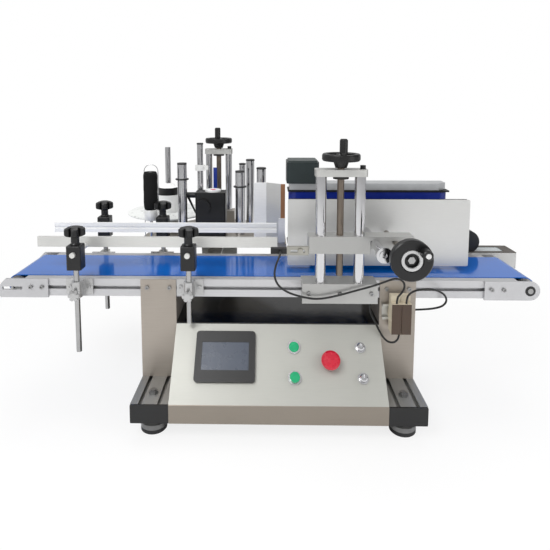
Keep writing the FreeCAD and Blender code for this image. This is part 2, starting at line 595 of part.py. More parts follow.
def stages():
    top = "stage_top"
    seat = extruded("stage_seat", "YZ_Plane", [
        ("stage_y - stage_deep / 2", "stage_bottom"), (f"-{RAIL_OUT}", "stage_bottom"),
        (f"-{RAIL_OUT}", RAIL_TOP), (f"-{RAIL_IN}", RAIL_TOP), (f"-{RAIL_IN}", top),
        ("stage_y - stage_deep / 2", top)], "stage_wide")
    front_base = move(seat, "stage_x - stage_wide / 2")
    floor = PANEL_FOOT
    wide = ("rear_x - rear_base_wide / 2", "rear_x + rear_base_wide / 2")
    deep = ("rear_y - stage_deep / 2", "rear_y + stage_deep / 2")
    rear_block = block("rear_block", wide, deep, ("stage_bottom", top))
    pedestal = extruded("pedestal", "YZ_Plane", [
        (deep[0], f"{floor} + 10"), (deep[1], f"{floor} + 10"), (deep[1], "stage_bottom"),
        (deep[0], "stage_bottom"), (f"{deep[0]} + 8", "stage_bottom - 30"),
        (f"{deep[0]} + 8", f"{floor} + 40")], "rear_base_wide")
    move(pedestal, wide[0])
    bridge = block("bridge", ("-beam_pitch / 2 - beam_wide / 2", "beam_pitch / 2 + beam_wide / 2"),
                   ("rear_y - 32", "rear_y + 32"), (floor, f"{floor} + 10"))
    tie = block("rail_tie", ("rear_x - 20", "rear_x + 20"), (RAIL_OUT, deep[0]),
                (f"{RAIL_BOTTOM} + 4", f"{RAIL_BOTTOM} + 12"))
    subpart("stage_bases", group("bases", front_base,
                                 fuse("rear_base", rear_block, pedestal, bridge, tie)))
    columns, plates = [], []
    for name, x, y, pitch, radius, wide in (
            ("front", "stage_x", "stage_y", "column_pitch", "column_radius", "top_plate_wide"),
            ("rear", "rear_x", "rear_y", "rear_pitch", "rear_column_radius", "rear_plate_wide")):
        columns += [rod(f"{name}_column{sign}", radius, top, "plate_bottom", "z",
                        (f"{x} + {sign} * {pitch} / 2", y)) for sign in (-1, 1)]
        slab = block(f"{name}_slab", (f"{x} - {wide} / 2", f"{x} + {wide} / 2"),
                     (f"{y} - top_plate_deep / 2", f"{y} + top_plate_deep / 2"),
                     ("plate_bottom", "plate_top"))
        slab = rounded(f"{name}_slab_round", slab, "top_plate_corner", along((0, 0, 1)))
        collar = rod(f"{name}_collar", "thrust_radius", "plate_bottom - thrust_high",
                     "plate_bottom", "z", (x, y))
        cap = rod(f"{name}_cap", "cap_radius", "plate_top", "plate_top + cap_high", "z",
                  (f"{x} + {wide} / 2 - cap_in", y))
        bore = rod(f"{name}_bore", "lead_radius + run_fit", "plate_bottom - thrust_high - 1",
                   "plate_top + 1", "z", (x, y))
        blank = fuse(f"{name}_plate_blank", slab, collar, cap)
        plates.append(cut(f"{name}_plate", blank, bore))
    subpart("stage_columns", group("columns", *columns))
    subpart("stage_top_plates", group("top_plates", *plates))
    for node, x, y in (("front_handwheel", "stage_x", "stage_y"),
                       ("rear_handwheel", "rear_x", "rear_y")):
        wheel = handwheel(node)
        subpart(node, move(wheel, x, y, "wheel_bottom"))


def handwheel(name):
    """Dished wheel with a grip, hub downwards on its screw. The hub's foot is at Z 0."""
    rim = "(wheel_radius - rim_wide)"
    low, high = "hub_high", "(hub_high + rim_high)"
    dish = turned(f"{name}_dish", [
        (0, 0), ("lead_radius + 5", 0), ("lead_radius + 9", "hub_high - 3"), (rim, f"{low} + 3"),
        (f"{rim} + 2", low), ("wheel_radius - 2", low), ("wheel_radius", f"{low} + 3"),
        ("wheel_radius", f"{high} - 3"), ("wheel_radius - 2", high), (f"{rim} + 2", high),
        (rim, f"{high} - 2"), (rim, f"{low} + 7"), ("lead_radius + 6", "hub_high + 5"),
        ("lead_radius + 3", f"{high} - 1"), (0, f"{high} - 1")])
    screw_rod = rod(f"{name}_screw", "lead_radius", "lead_bottom - wheel_bottom", 1)
    grip = turned(f"{name}_grip", [
        (0, high), ("grip_radius - 2", high), ("grip_radius", f"{high} + 5"),
        ("grip_radius", f"{high} + grip_high - 3"), ("grip_radius - 2", f"{high} + grip_high"),
        (0, f"{high} + grip_high")])
    move(grip, 0, "-grip_offset")
    return fuse(f"{name}_whole", dish, screw_rod, grip)


# ---- lifting block and press slide ----------------------------------------------------------

def lifting_block():
    """Slides on the two front columns and carries the press arm."""
    front = "(stage_y - block_deep / 2 + 4)"
    deep = (front, f"{front} + block_deep")
    body = block("lift_body", ("block_left", "block_right"), deep, ("block_bottom", "block_top"))
    body = rounded("lift_round", body, 3, along((0, 0, 1)))
    flange = "block_top - arm_flange"
    arm = extruded("lift_arm", "YZ_Plane", [
        (f"{front} + arm_step", "arm_bottom"), (deep[1], "arm_bottom"), (deep[1], "block_top"),
        (front, "block_top"), (front, flange), (f"{front} + arm_step", flange)],
        "arm_end - block_right + 5")
    move(arm, "block_right - 5")
    bores = [rod(f"lift_bore{sign}", "column_radius + run_fit", "block_bottom - 1",
                 "block_top + 1", "z", (f"stage_x + {sign} * column_pitch / 2", "stage_y"))
             for sign in (-1, 1)]
    bores.append(rod("lift_nut", "lead_radius + run_fit", "block_bottom - 1", "block_top + 1",
                     "z", ("stage_x", "stage_y")))
    span = (f"{deep[0]} - 1", f"{deep[1]} + 1")
    bores.append(rod("arm_rod_bore", "press_rod_radius + run_fit", *span, "y",
                     ("press_rod_x", "press_z")))
    bores.append(rod("arm_nut", "press_screw_radius + run_fit", *span, "y",
                     ("press_screw_x", "press_z")))
    subpart("lift_block", cut("lift", fuse("lift_blank", body, arm), *bores))

    low, high = "sensor_arm_bottom", "sensor_arm_bottom + sensor_arm_high"
    face = f"{front} + 2"
    bar = block("sensor_bar", ("sensor_arm_left", "block_left"),
                (face, f"{face} + sensor_arm_thick"), (low, high))
    slot = block("sensor_slot", ("sensor_arm_left + 8", "block_left - 8"),
                 (f"{face} - 1", f"{face} + sensor_arm_thick + 1"),
                 (f"{low} + 6", f"{high} - 7"))
    eye = block("sensor_eye", ("sensor_arm_left - sensor_long", "sensor_arm_left"),
                (face, f"{face} + sensor_high"), (f"{low} + 3", f"{low} + 3 + sensor_high"))
    clamp = rod("sensor_clamp", 6, f"{face} - 5", face, "y",
                ("block_left - 18", f"{low} + sensor_arm_high / 2"))
    subpart("sensor_arm", group("sensor", cut("sensor_holder", bar, slot), eye, clamp))


def press_slide():
    """Pressing plate on its rod, joined to the screw by a yoke."""
    back = "press_y + press_thick"
    sheet_metal = block("press_sheet", ("press_left", "press_right"), ("press_y", back),
                        ("press_bottom", "press_top"))
    subpart("press_plate", rounded("press_sheet_round", sheet_metal, "press_corner",
                                   along((0, 1, 0))))
    pad = block("press_sponge", ("press_left + pad_margin", "press_right - pad_margin"),
                (back, f"{back} + pad_thick"), ("press_bottom + pad_margin / 2", "press_top"))
    subpart("press_pad", pad)
    yoke_back = "yoke_y + yoke_thick"
    shaft = rod("press_rod", "press_rod_radius", "yoke_y - 2", "press_y", "y",
                ("press_rod_x", "press_z"))
    eyes = [rod(f"yoke_eye{k}", "yoke_radius", "yoke_y", yoke_back, "y", (x, "press_z"))
            for k, x in enumerate(("press_rod_x", "press_screw_x"))]
    bar = block("yoke_bar", ("press_rod_x", "press_screw_x"), ("yoke_y", yoke_back),
                ("press_z - yoke_radius * 0.6", "press_z + yoke_radius * 0.6"))
    bore = rod("yoke_bore", "press_screw_radius + run_fit", "yoke_y - 1", f"{yoke_back} + 1",
               "y", ("press_screw_x", "press_z"))
    recess = rod("yoke_socket", "press_rod_radius * 0.5", "yoke_y - 3", "yoke_y + 3", "y",
                 ("press_rod_x", "press_z"))
    subpart("press_guide", cut("guide", fuse("guide_blank", shaft, bar, *eyes), bore, recess))
    wheel = press_wheel("press_handwheel")
    wheel.Placement.Rotation = FreeCAD.Rotation(FreeCAD.Vector(1, 0, 0), 90)
    move(wheel, "press_screw_x", "press_wheel_y + hub_high + rim_high", "press_z")
    subpart("press_handwheel", wheel)


def press_wheel(name):
    """Thick wheel with a ring and a sunk bolt in its face, and a lug handle on the rim."""
    face = "(hub_high + rim_high)"
    ring, inner = "ring_inner", "cap_ring_inner"
    disc = turned(f"{name}_disc", [
        (0, 0), ("press_screw_radius + 8", 0), ("press_screw_radius + 10", "hub_high - 3"),
        ("wheel_radius - 2", "hub_high - 3"), ("wheel_radius", "hub_high - 1"),
        ("wheel_radius", f"{face} - 2"), ("wheel_radius - 2", face), (f"{ring} + 1", face),
        (f"{ring} - 0.5", f"{face} - 3"), (f"{ring} - 1.5", f"{face} - 1.5"),
        (f"{inner} + 1", f"{face} - 1.5"), (inner, f"{face} - 3"), (inner, f"{face} - face_deep"),
        (0, f"{face} - face_deep")])
    bolt = doc.addObject("Part::Prism", f"{name}_bolt")
    bolt.Polygon = 6
    bind(bolt, Circumradius="press_screw_radius + 1.5", Height="face_deep / 2")
    move(bolt, 0, 0, f"{face} - face_deep")
    screw_rod = rod(f"{name}_screw", "press_screw_radius",
                    f"-(press_y - 12 - press_wheel_y - {face})", 1)
    lug = turned(f"{name}_lug", [
        (0, f"{face} - 2"), ("lug_radius", f"{face} - 2"), ("lug_radius", f"{face} + lug_long - 2"),
        ("lug_radius - 2", f"{face} + lug_long"), ("lug_radius / 2", f"{face} + lug_long"),
        ("lug_radius / 2", f"{face} + lug_long + 2"), (0, f"{face} + lug_long + 2")])
    move(lug, "lug_x", "lug_z")
    return fuse(f"{name}_whole", disc, bolt, screw_rod, lug)


# ---- wrap unit ------------------------------------------------------------------------------

def wrap_unit():
    reach = "(wrap_pulley_radius + wrap_belt_thick + belt_fit)"
    left, right = f"(wrap_left + {reach} + 2)", f"(wrap_right - {reach} - 2)"
    low, high = "wrap_bottom + wrap_plate + 1", "wrap_top - wrap_plate - 1"

    def upright_loop(name, radius, more):
        ends = [rod(f"{name}{k}", radius, f"{low} - {more}", f"{high} + {more}", "z", (x, "wrap_y"))
                for k, x in enumerate((left, right))]
        flat = block(f"{name}_flat", (left, right), (f"wrap_y - ({radius})", f"wrap_y + ({radius})"),
                     (f"{low} - {more}", f"{high} + {more}"))
        return fuse(name, flat, *ends)

    belt = cut("wrap_loop", upright_loop("wrap_outer", reach, 0),
               upright_loop("wrap_inner", "wrap_pulley_radius + belt_fit", 2))
    subpart("wrap_belt", belt)
    for node, x in (("wrap_drive_pulley", left), ("wrap_idler_pulley", right)):
        drum = rod(f"{node}_drum", "wrap_pulley_radius", low, high, "z", (x, "wrap_y"))
        pin = rod(f"{node}_pin", "pin_radius", "wrap_bottom", "wrap_top", "z", (x, "wrap_y"))
        subpart(node, fuse(f"{node}_turned", drum, pin))
    front = f"(wrap_y - {reach} - 2)"
    back = f"({RAIL_OUT} + wrap_back_thick)"
    plates = []
    for name, z in (("low", ("wrap_bottom", "wrap_bottom + wrap_plate")),
                    ("top", ("wrap_top - wrap_plate", "wrap_top"))):
        plate = block(f"wrap_{name}_plate", ("wrap_left", "wrap_right"), (front, back), z)
        bores = [rod(f"wrap_{name}_bore{k}", "pin_radius + shaft_fit", f"{z[0]} - 1",
                     f"{z[1]} + 1", "z", (x, "wrap_y")) for k, x in enumerate((left, right))]
        plates.append(cut(f"wrap_{name}", plate, *bores))
    beam = block("wrap_core", (f"{left} + {reach} + 6", f"{right} - {reach} - 6"),
                 ("wrap_y - wrap_pulley_radius + 0.3", "wrap_y + wrap_pulley_radius - 0.3"),
                 ("wrap_bottom + wrap_plate", "wrap_top - wrap_plate"))
    step = f"{UPRIGHT_X} - upright_wide / 2 - 6"
    spine = extruded("wrap_spine", "XZ_Plane", [
        ("wrap_left + 60", f"{RAIL_BOTTOM} + 6"), (step, f"{RAIL_BOTTOM} + 6"),
        (step, f"{RAIL_TOP} + 2"), ("wrap_right - 60", f"{RAIL_TOP} + 2"),
        ("wrap_right - 60", "wrap_top"), ("wrap_left + 60", "wrap_top")], "wrap_back_thick")
    move(spine, 0, RAIL_OUT)
    cover = extruded("wrap_cover", "XY_Plane", [
        ("wrap_left + 4", f"{front} + 2"), ("wrap_right - 26", f"{front} + 2"),
        ("wrap_right - 4", f"{front} + 20"), ("wrap_right - 4", f"{back} - 2"),
        ("wrap_left + 4", f"{back} - 2")], "cover_high")
    move(cover, 0, 0, "wrap_top")
    subpart("wrap_housing", group("wrap_frame", fuse("wrap_body", *plates, beam, spine), cover))
    floor = "wrap_top + cover_high"
    side = ("wrap_motor_left", "wrap_motor_left + wrap_motor_wide")
    can = block("wrap_can", side, ("wrap_y - 28", "wrap_y - 28 + wrap_motor_wide"),
                (floor, f"{floor} + wrap_motor_high"))
    can = rounded("wrap_can_round", can, 8, along((0, 0, 1)))
    roof = f"{floor} + wrap_motor_high"
    inset = "wrap_motor_cap"
    cap = block("wrap_can_cap", (f"{side[0]} + {inset}", f"{side[1]} - {inset}"),
                (f"wrap_y - 28 + {inset}", f"wrap_y - 28 + wrap_motor_wide - {inset}"),
                (roof, f"{roof} + {inset}"))
    cap = rounded("wrap_cap_round", cap, 6, along((0, 0, 1)))
    subpart("wrap_motor", fuse("wrap_drive_motor", can, cap))


# ---- bottle guides --------------------------------------------------------------------------

FRONT_POSTS = ("(idler_x + guide_left_in)", "(idler_x + guide_right_in)")
REAR_POSTS = ("(idler_x + rear_left_in)", f"(-{UPRIGHT_X} - rear_right_off)")
GUIDE_START = "(idler_x + guide_in)"
GUIDE_END = "(idler_x + guide_in + guide_long)"


def knob_head(name, radius, stem, lobes, neck, high):
    """Lobed clamping knob with a domed head, standing on Z 0."""
    core = turned(f"{name}_stem", [
        (0, 0), (f"{stem} + 2", 0), (f"{stem} + 2", 1.5), (stem, 4), (stem, neck),
        (stem, f"{neck} + {high} / 2"), (0, f"{neck} + {high} / 2")])
    arms = [rod(f"{name}_hub", f"{radius} * 0.54", neck, f"{neck} + {high}")]
    for k in range(lobes):
        turn = math.radians(360 / lobes * k)
        arms.append(rod(f"{name}_lobe{k}", f"{radius} * 0.32", neck, f"{neck} + {high}", "z",
                        (f"{radius} * {0.68 * math.cos(turn):.5f}",
                         f"{radius} * {0.68 * math.sin(turn):.5f}")))
    dome = turned(f"{name}_dome", [
        (0, neck), (f"{radius} * 0.5", neck), (f"{radius} * 0.94", f"{neck} + {high} * 0.16"),
        (radius, f"{neck} + {high} * 0.28"), (radius, f"{neck} + {high} * 0.66"),
        (f"{radius} * 0.93", f"{neck} + {high} * 0.84"), (f"{radius} * 0.5", f"{neck} + {high}"),
        (0, f"{neck} + {high}")])
    head = doc.addObject("Part::MultiCommon", f"{name}_head")
    head.Shapes = [fuse(f"{name}_star", *arms), dome]
    return fuse(name, core, head)


def guide_set(side, sign, posts, rise):
    """Two posts with their clamps, the guide bar on its cross rods and the two knobs."""
    y = f"({sign} * post_y)"
    low = f"(clamp_bottom + {rise})"
    cross_z = f"({low} + cross_rise)"
    half = "clamp_wide / 2"
    holders, rods = [], []
    for k, (x, end) in enumerate(posts):
        clamp = block(f"{side}_clamp{k}", (f"{x} - {half}", f"{x} + {half}"),
                      (f"{y} - {half}", f"{y} + {half}"), (low, f"{low} + clamp_high"))
        clamp = rounded(f"{side}_clamp_round{k}", clamp, 4, along((0, 0, 1)))
        clamp = rounded(f"{side}_clamp_top{k}", clamp, 3, above(f"{low} + clamp_high - 1"))
        bore = rod(f"{side}_cross_bore{k}", "post_radius + run_fit", f"{y} - {half} - 1",
                   f"{y} + {half} + 1", "y", (x, cross_z))
        post = rod(f"{side}_post{k}", "post_radius", end, f"{low} + 1", "z", (x, y))
        holders.append(fuse(f"{side}_holder{k}", cut(f"{side}_bored{k}", clamp, bore), post))
        ends = (f"{y} - {half} - 6", "-guide_face - guide_thick + 1")
        if sign > 0:
            ends = ("guide_face + guide_thick - 1", f"{y} + {half} + 6")
        rods.append(rod(f"{side}_cross{k}", "post_radius", *ends, "y", (x, cross_z)))
        knob = knob_head(f"{side}_knob{k}", "knob_radius", "knob_stem", 5, "knob_neck", "knob_high")
        move(knob, x, y, f"{low} + clamp_high")
        subpart(f"{side}_knob_{'right' if k else 'left'}", knob)
    subpart(f"{side}_guide_posts", group(f"{side}_holders", *holders))
    span = ("-guide_face - guide_thick", "-guide_face")
    if sign > 0:
        span = ("guide_face", "guide_face + guide_thick")
    bar_low = f"{cross_z} - 6"
    bar = block(f"{side}_bar", (GUIDE_START, GUIDE_END), span,
                (bar_low, f"{bar_low} + guide_high"))
    groove_span = (f"{span[1]} - 2", f"{span[1]} + 1") if sign < 0 else (f"{span[0]} - 1",
                                                                       f"{span[0]} + 2")
    groove = block(f"{side}_groove", (f"{GUIDE_START} - 1", f"{GUIDE_END} + 1"), groove_span,
                   (f"{bar_low} + guide_high / 2 - 3", f"{bar_low} + guide_high / 2 + 3"))
    subpart(f"{side}_guide_rail", fuse(f"{side}_guide", cut(f"{side}_bar_cut", bar, groove), *rods))


def rail_brackets():
    """Sliding sleeves on the rails that hold the guide posts, each with its star knob."""
    pieces = []
    for name, x, sign in (("fl", FRONT_POSTS[0], -1), ("fr", FRONT_POSTS[1], -1),
                          ("rl", REAR_POSTS[0], 1), ("rr", REAR_POSTS[1], 1)):
        high = f"{RAIL_TOP} + 2"
        low = f"{high} - bracket_high"
        y = f"({sign} * post_y)"
        span = (f"-{RAIL_OUT} - bracket_thick", f"-{RAIL_OUT}")
        if sign > 0:
            span = (RAIL_OUT, f"{RAIL_OUT} + bracket_thick")
        if name == "rr":
            span = tuple(f"{edge} + upright_thick" for edge in span)
        plate = block(f"{name}_plate", (f"{x} - bracket_wide / 2", f"{x} + bracket_wide / 2"),
                      span, (low, high))
        boss = rod(f"{name}_boss", "boss_radius", low, high, "z", (x, y))
        web_span = (y, span[0]) if sign < 0 else (span[1], y)
        web = block(f"{name}_web", (f"{x} - boss_radius", f"{x} + boss_radius"), web_span,
                    (low, high))
        bore = rod(f"{name}_bore", "post_radius + run_fit", f"{low} - 1", f"{high} + 1", "z", (x, y))
        pieces.append(cut(f"{name}_bracket", fuse(f"{name}_blank", plate, boss, web), bore))
        knob = knob_head(f"{name}_star", "star_radius", 4, 6, "star_neck", "star_high")
        knob.Placement.Rotation = FreeCAD.Rotation(FreeCAD.Vector(1, 0, 0), -90 * sign)
        move(knob, x, f"{y} + {sign} * (boss_radius - 0.6)", f"{low} + 10")
        pieces.append(knob)
        z = f"{low} + bracket_high / 2"
        face = span[0] if sign < 0 else span[1]
        pieces += [screw(f"{name}_screw{k}", f"{x} + {offset}", face, z, sign)
                   for k, offset in enumerate((-21, 21))]
    subpart("guide_brackets", group("brackets", *pieces))


# ---- label head -----------------------------------------------------------------------------

HEAD_TOP = "(head_bottom + head_thick)"


def label_head():
    carriage_top = "head_bottom + carriage_high"
    half = "rear_pitch / 2 + rear_column_radius + 8"
    plate = extruded("head_sheet", "XY_Plane", [
        ("foam_x - 26", "head_front + 30"), ("foam_x", "head_front"),
        ("peel_left", "head_front"), ("peel_left", "peel_y - 4"),
        ("peel_edge + 4", "peel_tip_y - 4"), ("peel_edge + 4", "exit_roller_y + 10"),
        ("rear_x + 70", "rear_y + 22"), ("rear_x - 70", "rear_y + 22"),
        ("reel_x + 30", "reel_y + 36"), ("reel_x - 30", "reel_y + 36"),
        ("foam_x - 26", "foam_y + 26")], "head_thick")
    move(plate, 0, 0, "head_bottom")
    carriage = block("carriage", (f"rear_x - ({half})", f"rear_x + ({half})"),
                     ("rear_y - 22", "rear_y + 22"), ("head_bottom", carriage_top))
    bores = [rod(f"head_bore{sign}", "rear_column_radius + run_fit", "head_bottom - 1",
                 f"{carriage_top} + 1", "z", (f"rear_x + {sign} * rear_pitch / 2", "rear_y"))
             for sign in (-1, 1)]
    bores.append(rod("head_nut", "lead_radius + run_fit", "head_bottom - 1",
                     f"{carriage_top} + 1", "z", ("rear_x", "rear_y")))
    subpart("head_plate", cut("head", fuse("head_blank", plate, carriage), *bores))
    head_posts()

    for node, x, y, top in (("entry_roller", "entry_roller_x", "entry_roller_y", "entry_roller_top"),
                            ("exit_roller", "exit_roller_x", "exit_roller_y", "exit_roller_top")):
        high = f"({top} - {HEAD_TOP})"
        ring = f"{high} - 46"
        sleeve = turned(f"{node}_sleeve", [
            ("pin_radius + shaft_fit", 0), ("path_roller_radius", 0),
            ("path_roller_radius", ring), ("ring_radius", ring),
            ("ring_radius", f"{ring} + ring_thick"), ("path_roller_radius", f"{ring} + ring_thick"),
            ("path_roller_radius", high), (0, high), (0, f"{high} - 6"),
            ("pin_radius + shaft_fit", f"{high} - 6")])
        subpart(node, move(sleeve, x, y, HEAD_TOP))
    foam = turned("foam_sleeve", [
        ("pin_radius + shaft_fit", "-foam_boss_high"), ("foam_boss_radius", "-foam_boss_high"),
        ("foam_boss_radius", 0), ("foam_radius", 0), ("foam_radius", "foam_top - foam_bottom"),
        ("pin_radius + shaft_fit", "foam_top - foam_bottom")])
    subpart("foam_roller", move(foam, "foam_x", "foam_y", "foam_bottom"))

    bore = "spindle_radius + shaft_fit"
    disc_top = f"disc_bottom + disc_thick - {HEAD_TOP}"
    tray = turned("tray_disc", [
        (bore, 0), ("reel_radius", 0), ("reel_radius", f"disc_bottom - {HEAD_TOP}"),
        ("disc_radius", f"disc_bottom - {HEAD_TOP}"), ("disc_radius", disc_top), (bore, disc_top)])
    subpart("label_tray", move(tray, "reel_x", "reel_y", HEAD_TOP))
    reel_top = "(reel_high + clamp_ring_high)"
    paper = turned("label_paper", [(bore, 0), ("reel_radius", 0), ("reel_radius", "reel_high"),
                                   (bore, "reel_high")])
    ring = turned("reel_clamp", [
        (bore, "reel_high"), ("clamp_ring_radius", "reel_high"), ("clamp_ring_radius", reel_top),
        ("clamp_ring_radius - 8", f"{reel_top} + 4"), ("spindle_radius + 4", f"{reel_top} + 12"),
        (bore, f"{reel_top} + 12")])
    reel = group("reel", paper, ring)
    subpart("label_roll", move(reel, "reel_x", "reel_y", "disc_bottom + disc_thick"))

    feed_back = "feed_front + feed_deep"
    can = block("feed_can", ("feed_left", "feed_right"), ("feed_front", feed_back),
                (HEAD_TOP, f"{HEAD_TOP} + feed_high"))
    can = rounded("feed_round", can, 5, along((0, 0, 1)))
    boss = rod("feed_boss", 20, "feed_front - 8", "feed_front + 1", "y",
               ("feed_left + 22", "feed_boss_z"))
    knob = rod("feed_button", 22, f"{HEAD_TOP} + feed_high - 1", f"{HEAD_TOP} + feed_high + 5",
               "z", ("feed_right - 36", "feed_front + 26"))
    lever_z = f"({HEAD_TOP} + feed_high - lever_radius - 2)"
    lever = rod("feed_lever", "lever_radius", "feed_left - lever_reach", "feed_left + 4", "x",
                ("feed_front + 22", lever_z))
    low = f"{lever_z} - strap_drop"
    strap = extruded("feed_strap", "XZ_Plane", [
        ("feed_left", low), ("feed_left", f"{low} + 9"), ("feed_left - lever_reach + 4", lever_z),
        ("feed_left - lever_reach", lever_z), ("feed_left - lever_reach", f"{lever_z} - 6")], 4)
    move(strap, 0, "feed_front + 20")
    subpart("feed_motor", fuse("feed", can, boss, knob, lever, strap))

    t = "peel_thick"
    plate = extruded("peel_sheet", "XY_Plane", [
        ("peel_left", "peel_y"), ("peel_bend", "peel_y"), ("peel_tip_x", "peel_tip_y"),
        ("peel_edge", "peel_tip_y"), ("peel_edge", f"peel_tip_y + {t}"),
        (f"peel_tip_x + {t} / 2", f"peel_tip_y + {t}"), (f"peel_bend + {t} / 2", f"peel_y + {t}"),
        ("peel_left", f"peel_y + {t}")], f"peel_top - {HEAD_TOP}")
    move(plate, 0, 0, HEAD_TOP)
    guard = block("peel_guard", ("peel_edge - peel_guard_wide", "peel_edge"),
                  ("peel_tip_y - peel_guard_thick", "peel_tip_y"),
                  ("peel_guard_bottom", "peel_guard_top"))
    subpart("peel_plate", group("peel", plate, rounded("peel_guard_round", guard, 1.5,
                                                       along((0, 1, 0)))))


def head_posts():
    """Pins of the rollers, fixed posts of the web's path, the wire hoop and the scale strip."""
    pins = [("reel_spindle", "spindle_radius", "spindle_top", "reel_x", "reel_y"),
            ("foam_pin", "pin_radius", "foam_top", "foam_x", "foam_y"),
            ("entry_pin", "pin_radius", "entry_roller_top - 6", "entry_roller_x", "entry_roller_y"),
            ("exit_pin", "pin_radius", "exit_roller_top - 6", "exit_roller_x", "exit_roller_y")]
    posts = [rod(name, radius, HEAD_TOP, top, "z", (x, y)) for name, radius, top, x, y in pins]
    for name in ("web_left", "web_back", "web_middle", "web_right"):
        radius, top = f"{name}_radius", f"({name}_top - {HEAD_TOP})"
        profile = [(0, 0), (radius, 0), (radius, f"{top} - 4"), (f"{radius} + 1", f"{top} - 4"),
                   (f"{radius} + 1", f"{top} - 1"), (radius, top), (0, top)]
        posts.append(move(turned(f"{name}_post", profile), f"{name}_x", f"{name}_y", HEAD_TOP))
    low, high = "clamp_collar_z", "clamp_collar_z + clamp_collar_high"
    wide = "web_left_radius + clamp_collar_wall"
    collar = rod("clamp_collar", wide, low, high, "z", ("web_left_x", "web_left_y"))
    ear = block("clamp_ear", ("web_left_x", f"web_left_x + {wide} + 8"),
                ("web_left_y - 5", "web_left_y + 5"), (f"{low} + 2", f"{high} - 2"))
    posts[4] = fuse("web_left_clamped", posts[4], collar, ear)
    arch = doc.addObject("Part::Torus", "hoop_arch")
    arch.Placement.Rotation = FreeCAD.Rotation(FreeCAD.Vector(1, 0, 0), 90)
    bind(arch, Radius1="hoop_radius", Radius2="wire_radius", Angle3="180")
    y = "(foam_y + hoop_back)"
    move(arch, "foam_x", y, "foam_top")
    legs = [rod(f"hoop_leg{sign}", "wire_radius", HEAD_TOP, "foam_top", "z",
                (f"foam_x + {sign} * hoop_radius", y)) for sign in (-1, 1)]
    posts.append(fuse("hoop", arch, *legs))
    posts.append(block("height_scale", ("scale_left", "scale_left + scale_wide"),
                       ("scale_y", "scale_y + scale_thick"), (HEAD_TOP, "scale_top")))
    subpart("head_posts", group("posts", *posts))


# ---- conveyor drive and relays --------------------------------------------------------------

def conveyor_drive():
    front = f"({RAIL_OUT} + plate_thick + drive_gap)"
    back = f"{front} + drive_deep"
    box = block("drive_case", ("drive_left", "drive_right"), (front, back),
                ("drive_bottom", "drive_top"))
    box = rounded("drive_case_round", box, 3, along((0, 0, 1)))
    relief = rod("drive_relief", "roller_shaft + 2", f"{front} - 1", f"{front} + 3", "y",
                 ("drive_x", AXIS_Z))
    window = block("drive_window", ("drive_left + window_margin", "drive_right - window_margin * 2"),
                   (f"{front} + window_margin", f"{back} - window_margin"),
                   ("drive_top - 1.5", "drive_top + 1"))
    case = cut("drive_box_cut", box, relief, window)
    motor = rod("drive_motor", "motor_radius", f"{front} + 10", f"{front} + 10 + motor_long",
                "y", ("motor_x", "motor_z"))
    subpart("drive_box", fuse("drive", case, motor))


def relays():
    face = f"-({RAIL_OUT} + upright_thick)"
    high = "din_bottom + din_high"
    rail = extruded("din_profile", "YZ_Plane", [
        (face, "din_bottom + 4"), (f"{face} - din_deep", "din_bottom + 4"),
        (f"{face} - din_deep", "din_bottom"), (f"{face} - din_deep - 1.5", "din_bottom"),
        (f"{face} - din_deep - 1.5", "din_bottom + 5.5"), (f"{face} - 1.5", "din_bottom + 5.5"),
        (f"{face} - 1.5", f"{high} - 5.5"), (f"{face} - din_deep - 1.5", f"{high} - 5.5"),
        (f"{face} - din_deep - 1.5", high), (f"{face} - din_deep", high),
        (f"{face} - din_deep", f"{high} - 4"), (face, f"{high} - 4")], "din_right - din_left")
    move(rail, "din_left")
    near = f"{face} - din_deep - 1.5"
    units = []
    for k in range(2):
        left = f"relay_left + {k} * (relay_wide + 1)"
        unit = block(f"relay{k}", (left, f"{left} + relay_wide"),
                     (f"{near} - relay_deep", near), ("relay_bottom", "relay_bottom + relay_high"))
        step = block(f"relay_cutaway{k}", (f"{left} - 1", f"{left} + relay_wide + 1"),
                     (f"{near} - relay_deep - 1", f"{near} - relay_deep + relay_ledge"),
                     ("relay_bottom + relay_high - relay_step", "relay_bottom + relay_high + 1"))
        units.append(cut(f"relay_unit{k}", unit, step))
    subpart("relay_units", group("relays", rail, *units))


# ---- cables ---------------------------------------------------------------------------------

CABLES = {
    # chosen routes, with Y counted from the centreline of the belt
    "sensor_cable": [
        (5, -128, 381), (5, -148, 381), (-5, -157, 361), (-9, -156, 338), (-3, -152, 317),
        (12, -147, 301), (31, -144, 291), (57, -142, 283), (88, -141, 278.5), (133, -141, 288.5),
        (169, -140, 299), (202, -140, 308), (231, -140, 319), (252, -138, 326), (268, -137, 321),
        (274, -136, 306), (267, -136, 292), (257, -135.5, 282), (257, -135.5, 268)],
    "loop_cable": [
        (278, -135.5, 268), (278, -135.5, 283), (288, -136.5, 295), (306, -137, 301),
        (328, -136, 302), (348, -133, 296), (364, -127, 284), (371, -118, 267), (366, -107, 251),
        (350, -96, 241), (328, -87, 235), (304, -80, 231), (280, -75, 229), (256, -73, 228),
        (232, -73, 228)],
    "relay_cable": [
        (267, -125, 200), (267, -125, 186), (258, -125, 175), (244, -124, 175),
        (233, -122, 185), (225, -119.5, 198), (218, -118, 213), (210, -116, 227),
        (204, -114, 240), (203, -114, 252.5), (203, -114, 265)],
}


